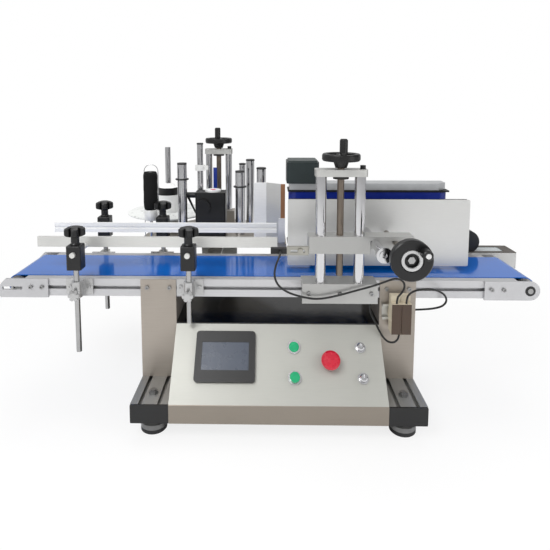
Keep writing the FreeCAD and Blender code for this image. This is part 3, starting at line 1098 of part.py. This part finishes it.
def cable(node, points):
    """A round cable along straight runs joined by tangent arcs."""
    vectors = [FreeCAD.Vector(*p) for p in points]
    edges, start, radii = [], vectors[0], []
    for before, corner, after in zip(vectors, vectors[1:], vectors[2:]):
        one, two = (before - corner), (after - corner)
        turn = math.pi - one.getAngle(two)
        trim = 0.45 * min(one.Length, two.Length)
        radii.append(trim / math.tan(turn / 2))
        enter = corner + one.normalize() * trim
        leave = corner + two.normalize() * trim
        bisector = (one + two).normalize()
        centre_distance = math.hypot(radii[-1], trim)
        middle = corner + bisector * (centre_distance - radii[-1])
        edges.append(Part.LineSegment(start, enter).toShape())
        edges.append(Part.Arc(enter, middle, leave).toShape())
        start = leave
    edges.append(Part.LineSegment(start, vectors[-1]).toShape())
    path = Part.Wire(edges)
    radius = worth("cable_radius")
    profile = Part.Wire(Part.Circle(vectors[0], vectors[1] - vectors[0], radius).toShape())
    tube = path.makePipeShell([profile], True, False)
    feature = doc.addObject("Part::Feature", node + "_tube")
    feature.Shape = tube
    section = math.pi * radius ** 2
    print(f"{node}: length {path.Length:.0f}, least radius {min(radii):.1f},"
          f" volume ratio {tube.Volume / section / path.Length:.4f}")
    subpart(node, feature)


# ---- the whole machine ----------------------------------------------------------------------

base_frame()
conveyor()
uprights()
control_box()
operator_panel()
stages()
lifting_block()
press_slide()
wrap_unit()
guide_set("front", -1, ((FRONT_POSTS[0], "left_post_end"), (FRONT_POSTS[1], "right_post_end")), 0)
guide_set("rear", 1, ((REAR_POSTS[0], "left_post_end"),
                      (REAR_POSTS[1], "right_post_end")), "rear_clamp_rise")
rail_brackets()
label_head()
conveyor_drive()
relays()
frame_screws()
for cable_node, route in CABLES.items():
    cable(cable_node, route)
doc.recompute()

broken = [o.Name for o in doc.Objects if "Invalid" in o.State or "Error" in o.State]
broken += [n for n, o in nodes.items() if o.Shape.isNull() or not o.Shape.isValid()]
if broken:
    raise RuntimeError(f"failed: {broken}")
os.makedirs("parts", exist_ok=True)
for node, item in nodes.items():
    item.Shape.exportStep(f"parts/{node}.step")
whole = Part.makeCompound([item.Shape for item in nodes.values()]).BoundBox
print(f"{len(nodes)} nodes, X {whole.XMin:.1f} to {whole.XMax:.1f},"
      f" Y {whole.YMin:.1f} to {whole.YMax:.1f}, Z {whole.ZMin:.1f} to {whole.ZMax:.1f}")
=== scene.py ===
import math

import bmesh
import bpy
from mathutils import Matrix, Vector


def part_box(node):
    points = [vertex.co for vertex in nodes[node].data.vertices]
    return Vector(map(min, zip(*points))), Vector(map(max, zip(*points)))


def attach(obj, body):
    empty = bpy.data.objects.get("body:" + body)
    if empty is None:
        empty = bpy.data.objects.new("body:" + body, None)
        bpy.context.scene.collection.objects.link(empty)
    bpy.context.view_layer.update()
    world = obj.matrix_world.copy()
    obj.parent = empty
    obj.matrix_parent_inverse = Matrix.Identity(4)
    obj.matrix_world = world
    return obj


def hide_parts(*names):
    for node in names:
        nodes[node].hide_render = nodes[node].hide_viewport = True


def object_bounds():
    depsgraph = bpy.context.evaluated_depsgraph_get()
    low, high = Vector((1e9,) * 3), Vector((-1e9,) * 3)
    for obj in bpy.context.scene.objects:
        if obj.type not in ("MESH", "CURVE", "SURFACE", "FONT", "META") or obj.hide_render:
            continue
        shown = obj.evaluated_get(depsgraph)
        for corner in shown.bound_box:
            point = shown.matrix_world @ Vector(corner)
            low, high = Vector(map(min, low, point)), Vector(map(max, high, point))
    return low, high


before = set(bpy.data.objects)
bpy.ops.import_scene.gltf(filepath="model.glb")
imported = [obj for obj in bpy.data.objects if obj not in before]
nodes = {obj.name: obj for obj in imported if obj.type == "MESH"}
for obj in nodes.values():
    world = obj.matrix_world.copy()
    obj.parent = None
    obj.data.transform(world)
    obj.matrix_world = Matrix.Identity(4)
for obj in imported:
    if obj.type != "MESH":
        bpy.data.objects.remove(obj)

cad_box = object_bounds()
scene = bpy.context.scene
scene.view_settings.view_transform = "Standard"


# ---- camera -----------------------------------------------------------------

def set_camera():
    data = bpy.data.cameras.new("view_camera")
    data.sensor_width = 36.0
    data.lens = 32.73
    data.shift_x = 0.0302
    data.shift_y = -0.2178
    data.clip_end = 50.0
    camera = bpy.data.objects.new("view_camera", data)
    scene.collection.objects.link(camera)
    camera.location = (-0.0241, -1.2554, 0.699)
    camera.rotation_euler = (math.radians(90 - 5.91), 0.0, math.radians(1.0))
    scene.camera = camera


set_camera()


# ---- finishes ---------------------------------------------------------------

def tone(red, green, blue):
    """An eight-bit colour as the shader wants it."""
    linear = []
    for value in (red, green, blue):
        share = value / 255
        linear.append(share / 12.92 if share <= 0.04045 else ((share + 0.055) / 1.055) ** 2.4)
    return (*linear, 1.0)


class Tree:
    """Adds nodes to a material with their values and links in one call."""

    def __init__(self, name):
        self.material = bpy.data.materials.new(name)
        self.material.use_nodes = True
        self.tree = self.material.node_tree
        self.shader = self.tree.nodes["Principled BSDF"]
        coordinate = self.tree.nodes.new("ShaderNodeTexCoord")
        self.place = coordinate.outputs["Object"]
        self.split = None

    def put(self, value, socket):
        if isinstance(value, bpy.types.NodeSocket):
            self.tree.links.new(value, socket)
        else:
            socket.default_value = value

    def node(self, kind, settings=None, **values):
        made = self.tree.nodes.new(kind)
        for key, value in (settings or {}).items():
            setattr(made, key, value)
        for key, value in values.items():
            self.put(value, made.inputs[key.replace("_", " ")])
        return made

    def math(self, operation, *values):
        made = self.tree.nodes.new("ShaderNodeMath")
        made.operation = operation
        for socket, value in zip(made.inputs, values):
            self.put(value, socket)
        return made.outputs[0]

    def mapped(self, scale):
        return self.node("ShaderNodeMapping", Vector=self.place, Scale=scale).outputs[0]

    def noise(self, scale, detail=3.0, stretch=(1, 1, 1)):
        vector = self.place if stretch == (1, 1, 1) else self.mapped(stretch)
        made = self.node("ShaderNodeTexNoise", Vector=vector, Scale=scale, Detail=detail)
        return made.outputs[0]

    def ranged(self, value, low, high, start=0.3, end=0.7):
        made = self.node("ShaderNodeMapRange", Value=value)
        for key, number in (("From Min", start), ("From Max", end), ("To Min", low),
                            ("To Max", high)):
            made.inputs[key].default_value = number
        return made.outputs[0]

    def blend_colour(self, share, first, second, kind="MIX"):
        made = self.node("ShaderNodeMix", {"data_type": "RGBA", "blend_type": kind})
        for socket, value in zip((made.inputs[0], made.inputs[6], made.inputs[7]),
                                 (share, first, second)):
            self.put(value, socket)
        return made.outputs[2]

    def blend_value(self, share, first, second):
        made = self.node("ShaderNodeMix", {"data_type": "FLOAT"})
        for socket, value in zip(made.inputs[:1] + made.inputs[2:4], (share, first, second)):
            self.put(value, socket)
        return made.outputs[0]

    def mask(self, tests):
        """1 where every test holds. A test is (axis, low, high), or ("round", axis, centre,
        inner, outer) for a ring about an axis through the two other coordinates."""
        if self.split is None:
            self.split = self.node("ShaderNodeSeparateXYZ", Vector=self.place).outputs
        result = None
        for test in tests:
            if test[0] == "round":
                _, axis, centre, inner, outer = test
                a, b = [k for k in "xyz" if k != axis]
                squares = [self.math("POWER", self.math("SUBTRACT", self.split["xyz".index(k)], c), 2.0)
                           for k, c in zip((a, b), centre)]
                value, low, high = self.math("ADD", *squares), inner ** 2, outer ** 2
                if inner <= 0:
                    low = -1.0
            else:
                axis, low, high = test
                value = self.split["xyz".index(axis)]
            share = self.math("MULTIPLY", self.math("GREATER_THAN", value, low),
                              self.math("LESS_THAN", value, high))
            result = share if result is None else self.math("MULTIPLY", result, share)
        return result


def finish(name, colour, metal=0.0, rough=0.5, uneven=0.05, grain=(1, 1, 1), grain_scale=60.0,
           bump=0.05, coat=0.0, zones=(), spread=0.06):
    """A finish with uneven tone, uneven gloss and a fine surface, and other finishes by zone.
    A zone is (tests, colour, metal, rough)."""
    t = Tree(name)
    fine = t.noise(grain_scale, 4.0, grain)
    broad = t.noise(7.0, 2.0)
    base, metallic, gloss = tone(*colour), metal, rough
    for tests, zone_colour, zone_metal, zone_rough in zones:
        share = t.mask(tests)
        base = t.blend_colour(share, base, tone(*zone_colour))
        if zone_metal != metal or not isinstance(metallic, (int, float)):
            metallic = t.blend_value(share, metallic, zone_metal)
        gloss = t.blend_value(share, gloss, zone_rough)
    shade = t.math("MULTIPLY", t.ranged(fine, 1 - uneven, 1 + uneven),
                   t.ranged(broad, 1 - uneven, 1 + uneven))
    grey = t.node("ShaderNodeCombineColor", Red=shade, Green=shade, Blue=shade).outputs[0]
    t.put(t.blend_colour(1.0, base, grey, "MULTIPLY"), t.shader.inputs["Base Color"])
    t.put(t.math("ADD", gloss, t.ranged(fine, -spread, spread)), t.shader.inputs["Roughness"])
    t.put(metallic, t.shader.inputs["Metallic"])
    if bump:
        made = t.node("ShaderNodeBump", Height=fine, Strength=bump, Distance=0.0004)
        t.put(made.outputs[0], t.shader.inputs["Normal"])
    if coat:
        t.shader.inputs["Coat Weight"].default_value = coat
        t.shader.inputs["Coat Roughness"].default_value = 0.05
    return t.material


def paint(material, *names):
    for name in names:
        target = nodes[name]
        if not target.material_slots:
            target.data.materials.append(material)
        for slot in target.material_slots:
            slot.material = material


BLACK = (13, 13, 14)
NEAR = -1
FAR = 1


# Zones are in metres, in the frame of the whole part. NEAR and FAR lie past it on every axis.

def disc(centre, outer, inner=-1.0, axis="z"):
    return ("round", axis, centre, inner, outer)


def finish_frame():
    paint(finish("slotted_beam", (158, 158, 156), 0.7, 0.42, grain=(40, 1, 40)),
          "base_beams")
    paint(finish("moulded_black", BLACK, 0.0, 0.4, grain_scale=900.0, bump=0.12),
          "beam_end_caps", "hmi_bezel")
    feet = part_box("levelling_feet")
    paint(finish("foot_metal", (132, 132, 132), 0.8, 0.34, zones=[
        ([("z", NEAR, feet[0].z + 0.010)], (34, 34, 36), 0.0, 0.6)]), "levelling_feet")
    paint(finish("bent_stainless", (166, 158, 149), 0.6, 0.42, uneven=0.05, grain=(1, 1, 60),
                 grain_scale=25.0), "uprights")
    paint(finish("panel_stainless", (172, 172, 166), 0.45, 0.46, uneven=0.03,
                 grain=(1, 40, 40), grain_scale=30.0, zones=[
                     ([("y", NEAR, cad_box[0].y + 0.064)], (142, 134, 124), 0.6, 0.4)]),
          "control_box")
    paint(finish("gloss_black_lid", (6, 6, 7), 0.0, 0.16, uneven=0.02, bump=0.01),
          "control_box_lid")


def finish_panel():
    # The screen is dark; its blue-grey base colour is a painted reflection laid over that dark screen.
    paint(finish("display_glass", (62, 70, 84), 0.0, 0.3, uneven=0.04, bump=0.0),
          "hmi_screen")
    paint(finish("collar_chrome", (214, 214, 216), 1.0, 0.2, bump=0.01), "control_collars")
    paint(finish("green_lens", (0, 158, 104), 0.0, 0.25, coat=0.5, uneven=0.08),
          "start_button", "stop_button")
    paint(finish("red_lens", (190, 12, 44), 0.0, 0.28, coat=0.5, uneven=0.06), "estop_button")
    paint(finish("dial_chrome", (206, 206, 208), 1.0, 0.18, bump=0.01), "feed_dial",
          "speed_dial")


def finish_conveyor():
    paint(finish("anodised_rail", (196, 196, 198), 0.7, 0.36, uneven=0.03, grain=(1, 30, 30)),
          "conveyor_rails")
    paint(finish("bed_sheet_steel", (150, 148, 144), 0.9, 0.4, grain=(1, 40, 1)),
          "conveyor_bed")
    paint(finish("machined_plate", (190, 190, 192), 0.7, 0.34, uneven=0.03, zones=[
        ([disc((0.560, 0.285), 0.0115, axis="y")], (26, 26, 28), 0.0, 0.4)]), "end_plates")
    paint(finish("blue_belt", (2, 92, 180), 0.0, 0.14, uneven=0.03, grain_scale=300.0,
                 bump=0.01, coat=0.5, spread=0.03), "conveyor_belt")
    paint(finish("socket_screw", (150, 150, 150), 1.0, 0.28), "frame_screws")
    paint(finish("roller_steel", (160, 160, 160), 1.0, 0.3, grain=(1, 1, 60)), "drive_roller",
          "idler_roller", "wrap_drive_pulley", "wrap_idler_pulley")
    paint(finish("machined_bracket", (186, 186, 186), 0.8, 0.3, grain=(30, 1, 30)),
          "guide_brackets")
    top = 0.311
    paint(finish("drive_grey", (186, 186, 184), 0.3, 0.42, zones=[
        ([("z", top - 0.001, top + 0.0002)], (74, 68, 62), 0.2, 0.4),
        ([("z", top - 0.003, top - 0.001), ("y", 0.045, 0.09), ("x", 0.52, 0.61)],
         (176, 182, 184), 0.0, 0.2),
        ([("z", top + 0.0002, FAR)], BLACK, 0.0, 0.36),
        ([("x", NEAR, 0.5098)], BLACK, 0.0, 0.36)]), "drive_box")


def finish_stages():
    paint(finish("machined_block", (176, 176, 174), 0.7, 0.36, uneven=0.03, grain=(30, 1, 30)),
          "stage_bases", "lift_block")
    paint(finish("stage_plate", (198, 198, 195), 0.6, 0.36, uneven=0.03, zones=[
        ([("z", 0.5592, FAR)], BLACK, 0.0, 0.4), ([("z", NEAR, 0.5438)], (40, 38, 36), 0.3, 0.4)]),
          "stage_top_plates")
    paint(finish("ground_chrome", (205, 205, 207), 1.0, 0.14, uneven=0.01, bump=0.0,
                 spread=0.02), "stage_columns", "press_guide")
    for name in ("front_handwheel", "rear_handwheel"):
        paint(finish(name + "_black", BLACK, 0.0, 0.34, zones=[
            ([("z", NEAR, 0.5615)], (122, 112, 102), 0.9, 0.36)]), name)
    face, axis = -0.322, (0.254, 0.399)
    paint(finish("press_wheel_black", BLACK, 0.0, 0.34, zones=[
        ([disc(axis, 0.0213, 0.0136, "y"), ("y", face - 0.0004, face + 0.0042)],
         (206, 206, 206), 0.8, 0.3),
        ([disc(axis, 0.0086, axis="y"), ("y", face + 0.0045, face + 0.0095)],
         (176, 176, 176), 1.0, 0.25),
        ([disc((axis[0] + 0.0227, axis[1] + 0.017), 0.0052, axis="y"), ("y", NEAR, -0.3449)],
         (226, 226, 226), 0.9, 0.2),
        ([("y", face + 0.0305, FAR)], (140, 134, 126), 0.9, 0.36)]), "press_handwheel")
    paint(finish("sensor_bracket", (170, 168, 160), 0.9, 0.34, zones=[
        ([("x", NEAR, 0.019)], BLACK, 0.0, 0.4)]), "sensor_arm")
    paint(finish("press_sheet", (206, 206, 204), 0.5, 0.36, uneven=0.03, grain=(1, 1, 30)),
          "press_plate")


def finish_wrap():
    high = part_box("wrap_housing")[1]
    paint(finish("wrap_frame", (30, 32, 34), 0.3, 0.4, zones=[
        ([("z", high.z - 0.0165, FAR)], (196, 198, 200), 0.7, 0.34),
        ([("z", NEAR, 0.3445)], (150, 150, 148), 0.7, 0.36)]), "wrap_housing")
    paint(finish("wrap_blue", (0, 30, 120), 0.0, 0.4, uneven=0.05), "wrap_belt")
    paint(finish("motor_dark", (34, 44, 45), 0.2, 0.4, zones=[
        ([("z", 0.5538, FAR)], (58, 66, 66), 0.2, 0.4)]), "wrap_motor")


def finish_guides():
    for name in ("front_guide_posts", "rear_guide_posts"):
        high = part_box(name)[1]
        paint(finish(name + "_black", BLACK, 0.0, 0.4, zones=[
            ([("z", NEAR, high.z - 0.0545)], (170, 170, 170), 1.0, 0.2)]), name)
    paint(finish("knob_black", BLACK, 0.0, 0.38), "front_knob_left", "front_knob_right",
          "rear_knob_left", "rear_knob_right")
    paint(finish("guide_bar", (208, 208, 205), 0.4, 0.34, grain=(1, 30, 30)),
          "front_guide_rail")
    paint(finish("guide_bar_white", (234, 234, 233), 0.1, 0.36, grain=(1, 30, 30)),
          "rear_guide_rail")


# (x, y, top) of the four posts with dark caps
POST_TOPS = [(-0.214, 0.152, 0.588), (-0.096, 0.190, 0.526), (-0.072, 0.160, 0.541),
             (-0.040, 0.108, 0.524)]


def finish_label_head():
    paint(finish("head_aluminium", (168, 162, 154), 0.6, 0.36, grain=(30, 1, 30)),
          "head_plate")
    caps = [([("x", x - 0.016, x + 0.016), ("y", y - 0.016, y + 0.016),
              ("z", top - 0.0042, FAR)], (22, 22, 22), 0.0, 0.4) for x, y, top in POST_TOPS]
    paint(finish("post_chrome", (205, 205, 207), 1.0, 0.14, uneven=0.01, bump=0.0,
                 spread=0.02, zones=caps + [
                     ([("x", -0.1876, -0.1755), ("y", 0.2435, 0.2465)], (24, 54, 150), 0.0, 0.4),
                     ([("x", -0.231, -0.190), ("y", 0.13, 0.17), ("z", 0.5098, 0.5252)],
                      (232, 232, 230), 0.0, 0.4)]), "head_posts")
    paint(finish("feed_motor_black", BLACK, 0.0, 0.36, zones=[
        ([("z", 0.4562, FAR)], (232, 232, 232), 0.0, 0.3),
        ([disc((-0.174, 0.116), 0.0075), ("z", 0.4562, FAR)], (210, 30, 60), 0.0, 0.3)]),
          "feed_motor")
    for name in ("entry_roller", "exit_roller"):
        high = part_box(name)[1].z
        paint(finish(name + "_steel", (200, 200, 202), 0.95, 0.2, grain=(1, 1, 20), bump=0.0,
                     spread=0.02, zones=[
                         ([("z", high - 0.0466, high - 0.0424)], (20, 20, 20), 0.0, 0.4),
                         ([("z", high - 0.004, FAR)], (30, 30, 30), 0.0, 0.4)]), name)
    paint(finish("tray_white", (234, 236, 234), 0.0, 0.3, coat=0.2), "label_tray")
    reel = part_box("label_roll")
    paint(finish("roll_paper", (238, 238, 237), 0.0, 0.6, grain=(1, 1, 60), zones=[
        ([("z", reel[0].z + 0.052, reel[0].z + 0.0735)], BLACK, 0.0, 0.4)]), "label_roll")
    paint(finish("peel_steel", (206, 205, 202), 0.5, 0.34, grain=(1, 1, 30), zones=[
        ([("x", NEAR, -0.026)], (238, 238, 238), 0.0, 0.4),
        ([("x", 0.0115, FAR), ("z", 0.385, FAR), ("y", 0.0309, FAR)], (150, 104, 70), 0.0, 0.5),
        ([("x", 0.0055, FAR), ("y", NEAR, 0.0309)], (232, 232, 232), 0.0, 0.4)]), "peel_plate")


def finish_electrics():
    paint(finish("relay_cream", (202, 192, 170), 0.0, 0.5, zones=[
        ([("x", NEAR, 0.2464)], (190, 190, 186), 0.9, 0.35),
        ([("x", 0.2887, FAR)], (190, 190, 186), 0.9, 0.35),
        ([("y", NEAR, -0.2095), ("z", NEAR, 0.2676)], (66, 50, 38), 0.0, 0.4)]), "relay_units")


finish_frame()
finish_panel()
finish_conveyor()
finish_stages()
finish_wrap()
finish_guides()
finish_label_head()
finish_electrics()


# ---- foam -------------------------------------------------------------------


def mesh_piece(name, shape, material, body):
    bmesh.ops.recalc_face_normals(shape, faces=shape.faces)
    mesh = bpy.data.meshes.new(name)
    shape.to_mesh(mesh)
    shape.free()
    mesh.shade_smooth()
    piece = bpy.data.objects.new(name, mesh)
    scene.collection.objects.link(piece)
    mesh.materials.append(material)
    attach(piece, body)
    return piece


def foam_finish(name):
    t = Tree(name)
    pores = t.node("ShaderNodeTexVoronoi", Vector=t.place, Scale=900.0).outputs["Distance"]
    patch = t.noise(30.0, 3.0)
    shade = t.math("MULTIPLY", t.ranged(pores, 0.55, 1.2, 0.1, 0.6), t.ranged(patch, 0.85, 1.15))
    grey = t.node("ShaderNodeCombineColor", Red=shade, Green=shade, Blue=shade).outputs[0]
    t.put(t.blend_colour(1.0, tone(24, 24, 24), grey, "MULTIPLY"), t.shader.inputs["Base Color"])
    t.shader.inputs["Roughness"].default_value = 0.9
    t.shader.inputs["Specular IOR Level"].default_value = 0.2
    bump = t.node("ShaderNodeBump", Height=pores, Strength=0.5, Distance=0.0006)
    t.put(bump.outputs[0], t.shader.inputs["Normal"])
    return t.material


def make_press_foam(material):
    """The sponge on the press plate: soft edges, and faces that swell a little."""
    low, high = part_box("press_pad")
    middle, half = (low + high) / 2, (high - low) / 2
    shape = bmesh.new()
    bmesh.ops.create_cube(shape, size=1.0, matrix=Matrix.Translation(middle)
                          @ Matrix.Diagonal((*(half * 2), 1.0)))
    bmesh.ops.bevel(shape, geom=list(shape.edges), offset=0.0025, offset_type="OFFSET",
                    segments=3, profile=0.5, affect="EDGES", material=-1)
    bmesh.ops.subdivide_edges(shape, edges=[e for e in shape.edges if e.calc_length() > 0.05],
                              cuts=24, use_grid_fill=True)
    for vertex in shape.verts:
        along = (vertex.co.x - middle.x) / half.x
        up = (vertex.co.z - middle.z) / half.z
        edge = max(0.0, (1 - along ** 2) * (1 - up ** 2))
        if vertex.co.y > middle.y:
            dimple = math.sin(vertex.co.x * 61) * math.sin(vertex.co.z * 73 + 1.3)
            vertex.co.y += 0.0009 * edge ** 0.4 * (0.6 + 0.4 * dimple)
    pad = mesh_piece("press_foam", shape, material, "press")
    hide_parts("press_pad")


def lathe(points, centre, steps=64):
    """A closed outline of (radius, height) turned about a vertical axis."""
    shape = bmesh.new()
    corners = [shape.verts.new((centre[0] + radius, centre[1], z)) for radius, z in points]
    edges = [shape.edges.new((a, b)) for a, b in zip(corners, corners[1:] + corners[:1])]
    bmesh.ops.spin(shape, geom=corners + edges, cent=(centre[0], centre[1], 0),
                   axis=(0, 0, 1), angle=math.tau, steps=steps, use_merge=True)
    return shape


def make_foam_roller(material):
    """The foam sleeve with its rounded ends, and the white boss that carries it."""
    low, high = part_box("foam_roller")
    centre = ((low.x + high.x) / 2, (low.y + high.y) / 2)
    outer, inner, seam = (high.x - low.x) / 2, 0.00405, low.z + 0.029
    rows = 22
    outline = [(inner, seam + 0.0002)]
    for k in range(rows + 1):
        share = k / rows
        z = seam + 0.0002 + share * (high.z - seam - 0.0002)
        swell = 1 - 0.16 * (abs(2 * share - 1) ** 12)
        outline.append((outer * swell - 0.0002 * math.sin(share * 19), z))
    outline.append((inner, high.z))
    sleeve = mesh_piece("foam_sleeve", lathe(outline, centre), material, "foam")
    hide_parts("foam_roller")
    boss = [(inner, low.z), (0.0165, low.z), (0.018, low.z + 0.0015), (0.018, seam - 0.0015),
            (0.0165, seam), (inner, seam)]
    white = finish("boss_white", (236, 236, 234), 0.0, 0.35, coat=0.2)
    mesh_piece("foam_boss", lathe(boss, centre), white, "foam")


black_foam = foam_finish("black_foam")
make_press_foam(black_foam)
make_foam_roller(black_foam)


# ---- cables -----------------------------------------------------------------

BELT_Y = -0.072
CABLE = 0.0044
ROUTES = {
    "sensor_cable": [
        (5, -128, 381), (5, -148, 381), (-5, -157, 361), (-9, -156, 338), (-3, -152, 317),
        (12, -147, 301), (31, -144, 291), (57, -142, 283), (88, -141, 278.5),
        (133, -141, 288.5), (169, -140, 299), (202, -140, 308), (231, -140, 319),
        (252, -138, 326), (268, -137, 321), (274, -136, 306), (267, -136, 292),
        (257, -135.5, 282), (257, -135.5, 268)],
    "loop_cable": [
        (278, -135.5, 268), (278, -135.5, 283), (288, -136.5, 295), (306, -137, 301),
        (328, -136, 302), (348, -133, 296), (364, -127, 284), (371, -118, 267),
        (366, -107, 251), (350, -96, 241), (328, -87, 235), (304, -80, 231), (280, -75, 229),
        (256, -73, 228), (232, -73, 228)],
    "relay_cable": [
        (267, -125, 200), (267, -125, 186), (258, -125, 175), (244, -124, 175),
        (233, -122, 185), (225, -119.5, 198), (218, -118, 213), (210, -116, 227),
        (204, -114, 240), (203, -114, 252.5), (203, -114, 265)],
}


def lay_cables():
    sheath = finish("cable_sheath", (18, 18, 19), 0.0, 0.42, grain_scale=400.0, bump=0.08)
    for node, route in ROUTES.items():
        data = bpy.data.curves.new(node + "_line", "CURVE")
        data.dimensions = "3D"
        data.bevel_depth = CABLE / 2
        data.bevel_resolution = 4
        data.resolution_u = 8
        data.use_fill_caps = True
        spline = data.splines.new("NURBS")
        spline.points.add(len(route) - 1)
        for point, (x, y, z) in zip(spline.points, route):
            point.co = (x / 1000, y / 1000 + BELT_Y, z / 1000, 1.0)
        spline.order_u = 3
        spline.use_endpoint_u = True
        line = bpy.data.objects.new(node + "_sheath", data)
        scene.collection.objects.link(line)
        data.materials.append(sheath)
        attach(line, "frame")
        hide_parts(node)


lay_cables()


# ---- floor and light --------------------------------------------------------

def set_floor():
    mesh = bpy.data.meshes.new("floor")
    shape = bmesh.new()
    bmesh.ops.create_grid(shape, x_segments=1, y_segments=1, size=6.0)
    shape.to_mesh(mesh)
    shape.free()
    floor = bpy.data.objects.new("floor", mesh)
    scene.collection.objects.link(floor)
    floor.location.z = cad_box[0].z - 0.0002
    t = Tree("pale_floor")
    t.shader.inputs["Base Color"].default_value = (0.86, 0.86, 0.86, 1.0)
    t.shader.inputs["Roughness"].default_value = 0.8
    t.shader.inputs["Specular IOR Level"].default_value = 0.1
    path = t.node("ShaderNodeLightPath")
    glow = t.node("ShaderNodeEmission")
    glow.inputs["Strength"].default_value = 1.0
    reach = t.node("ShaderNodeVectorMath", {"operation": "LENGTH"}).outputs["Value"]
    t.put(t.place, reach.node.inputs[0])
    far = t.ranged(reach, 0.8, 1.0, 0.5, 1.6)
    share = t.math("MULTIPLY", path.outputs["Is Camera Ray"], far)
    mixed = t.node("ShaderNodeMixShader")
    t.put(share, mixed.inputs[0])
    t.put(t.shader.outputs[0], mixed.inputs[1])
    t.put(glow.outputs[0], mixed.inputs[2])
    t.put(mixed.outputs[0], t.tree.nodes["Material Output"].inputs["Surface"])
    mesh.materials.append(t.material)


def set_world():
    world = bpy.data.worlds.new("studio")
    scene.world = world
    world.use_nodes = True
    tree = world.node_tree
    plain = tree.nodes["Background"]
    plain.inputs["Color"].default_value = (1.0, 1.0, 1.0, 1.0)
    plain.inputs["Strength"].default_value = 0.55
    white = tree.nodes.new("ShaderNodeBackground")
    white.inputs["Color"].default_value = (1.0, 1.0, 1.0, 1.0)
    white.inputs["Strength"].default_value = 1.0
    path = tree.nodes.new("ShaderNodeLightPath")
    seen = tree.nodes.new("ShaderNodeMath")
    seen.operation = "MAXIMUM"
    tree.links.new(path.outputs["Is Camera Ray"], seen.inputs[0])
    tree.links.new(path.outputs["Is Transmission Ray"], seen.inputs[1])
    side = tree.nodes.new("ShaderNodeTexCoord").outputs["Generated"]
    split = tree.nodes.new("ShaderNodeSeparateXYZ")
    tree.links.new(side, split.inputs[0])
    wall = tree.nodes.new("ShaderNodeMapRange")
    wall.interpolation_type = "SMOOTHSTEP"
    for socket, value in (("From Min", 0.62), ("From Max", 0.8), ("To Min", 0.55),
                          ("To Max", 0.05)):
        wall.inputs[socket].default_value = value
    tree.links.new(split.outputs[0], wall.inputs["Value"])
    shine = tree.nodes.new("ShaderNodeMix")
    shine.inputs[2].default_value = 0.55
    tree.links.new(path.outputs["Is Glossy Ray"], shine.inputs[0])
    tree.links.new(wall.outputs[0], shine.inputs[3])
    tree.links.new(shine.outputs[0], plain.inputs["Strength"])
    mixed = tree.nodes.new("ShaderNodeMixShader")
    tree.links.new(seen.outputs[0], mixed.inputs[0])
    tree.links.new(plain.outputs[0], mixed.inputs[1])
    tree.links.new(white.outputs[0], mixed.inputs[2])
    tree.links.new(mixed.outputs[0], tree.nodes["World Output"].inputs["Surface"])


def add_lamp(name, place, aim, size, power):
    data = bpy.data.lights.new(name, "AREA")
    data.shape = "RECTANGLE"
    data.size, data.size_y = size
    data.energy = power
    lamp = bpy.data.objects.new(name, data)
    scene.collection.objects.link(lamp)
    lamp.location = place
    direction = Vector(aim) - Vector(place)
    lamp.rotation_euler = direction.to_track_quat("-Z", "Y").to_euler()


set_floor()
set_world()
add_lamp("key_lamp", (-1.2, -1.8, 2.2), (0, 0, 0.3), (1.6, 1.2), 42)
add_lamp("fill_lamp", (1.8, -1.2, 1.2), (0, 0, 0.3), (1.2, 1.6), 16)
add_lamp("top_lamp", (0, 0.6, 2.6), (0, 0, 0.3), (2.2, 1.4), 26)
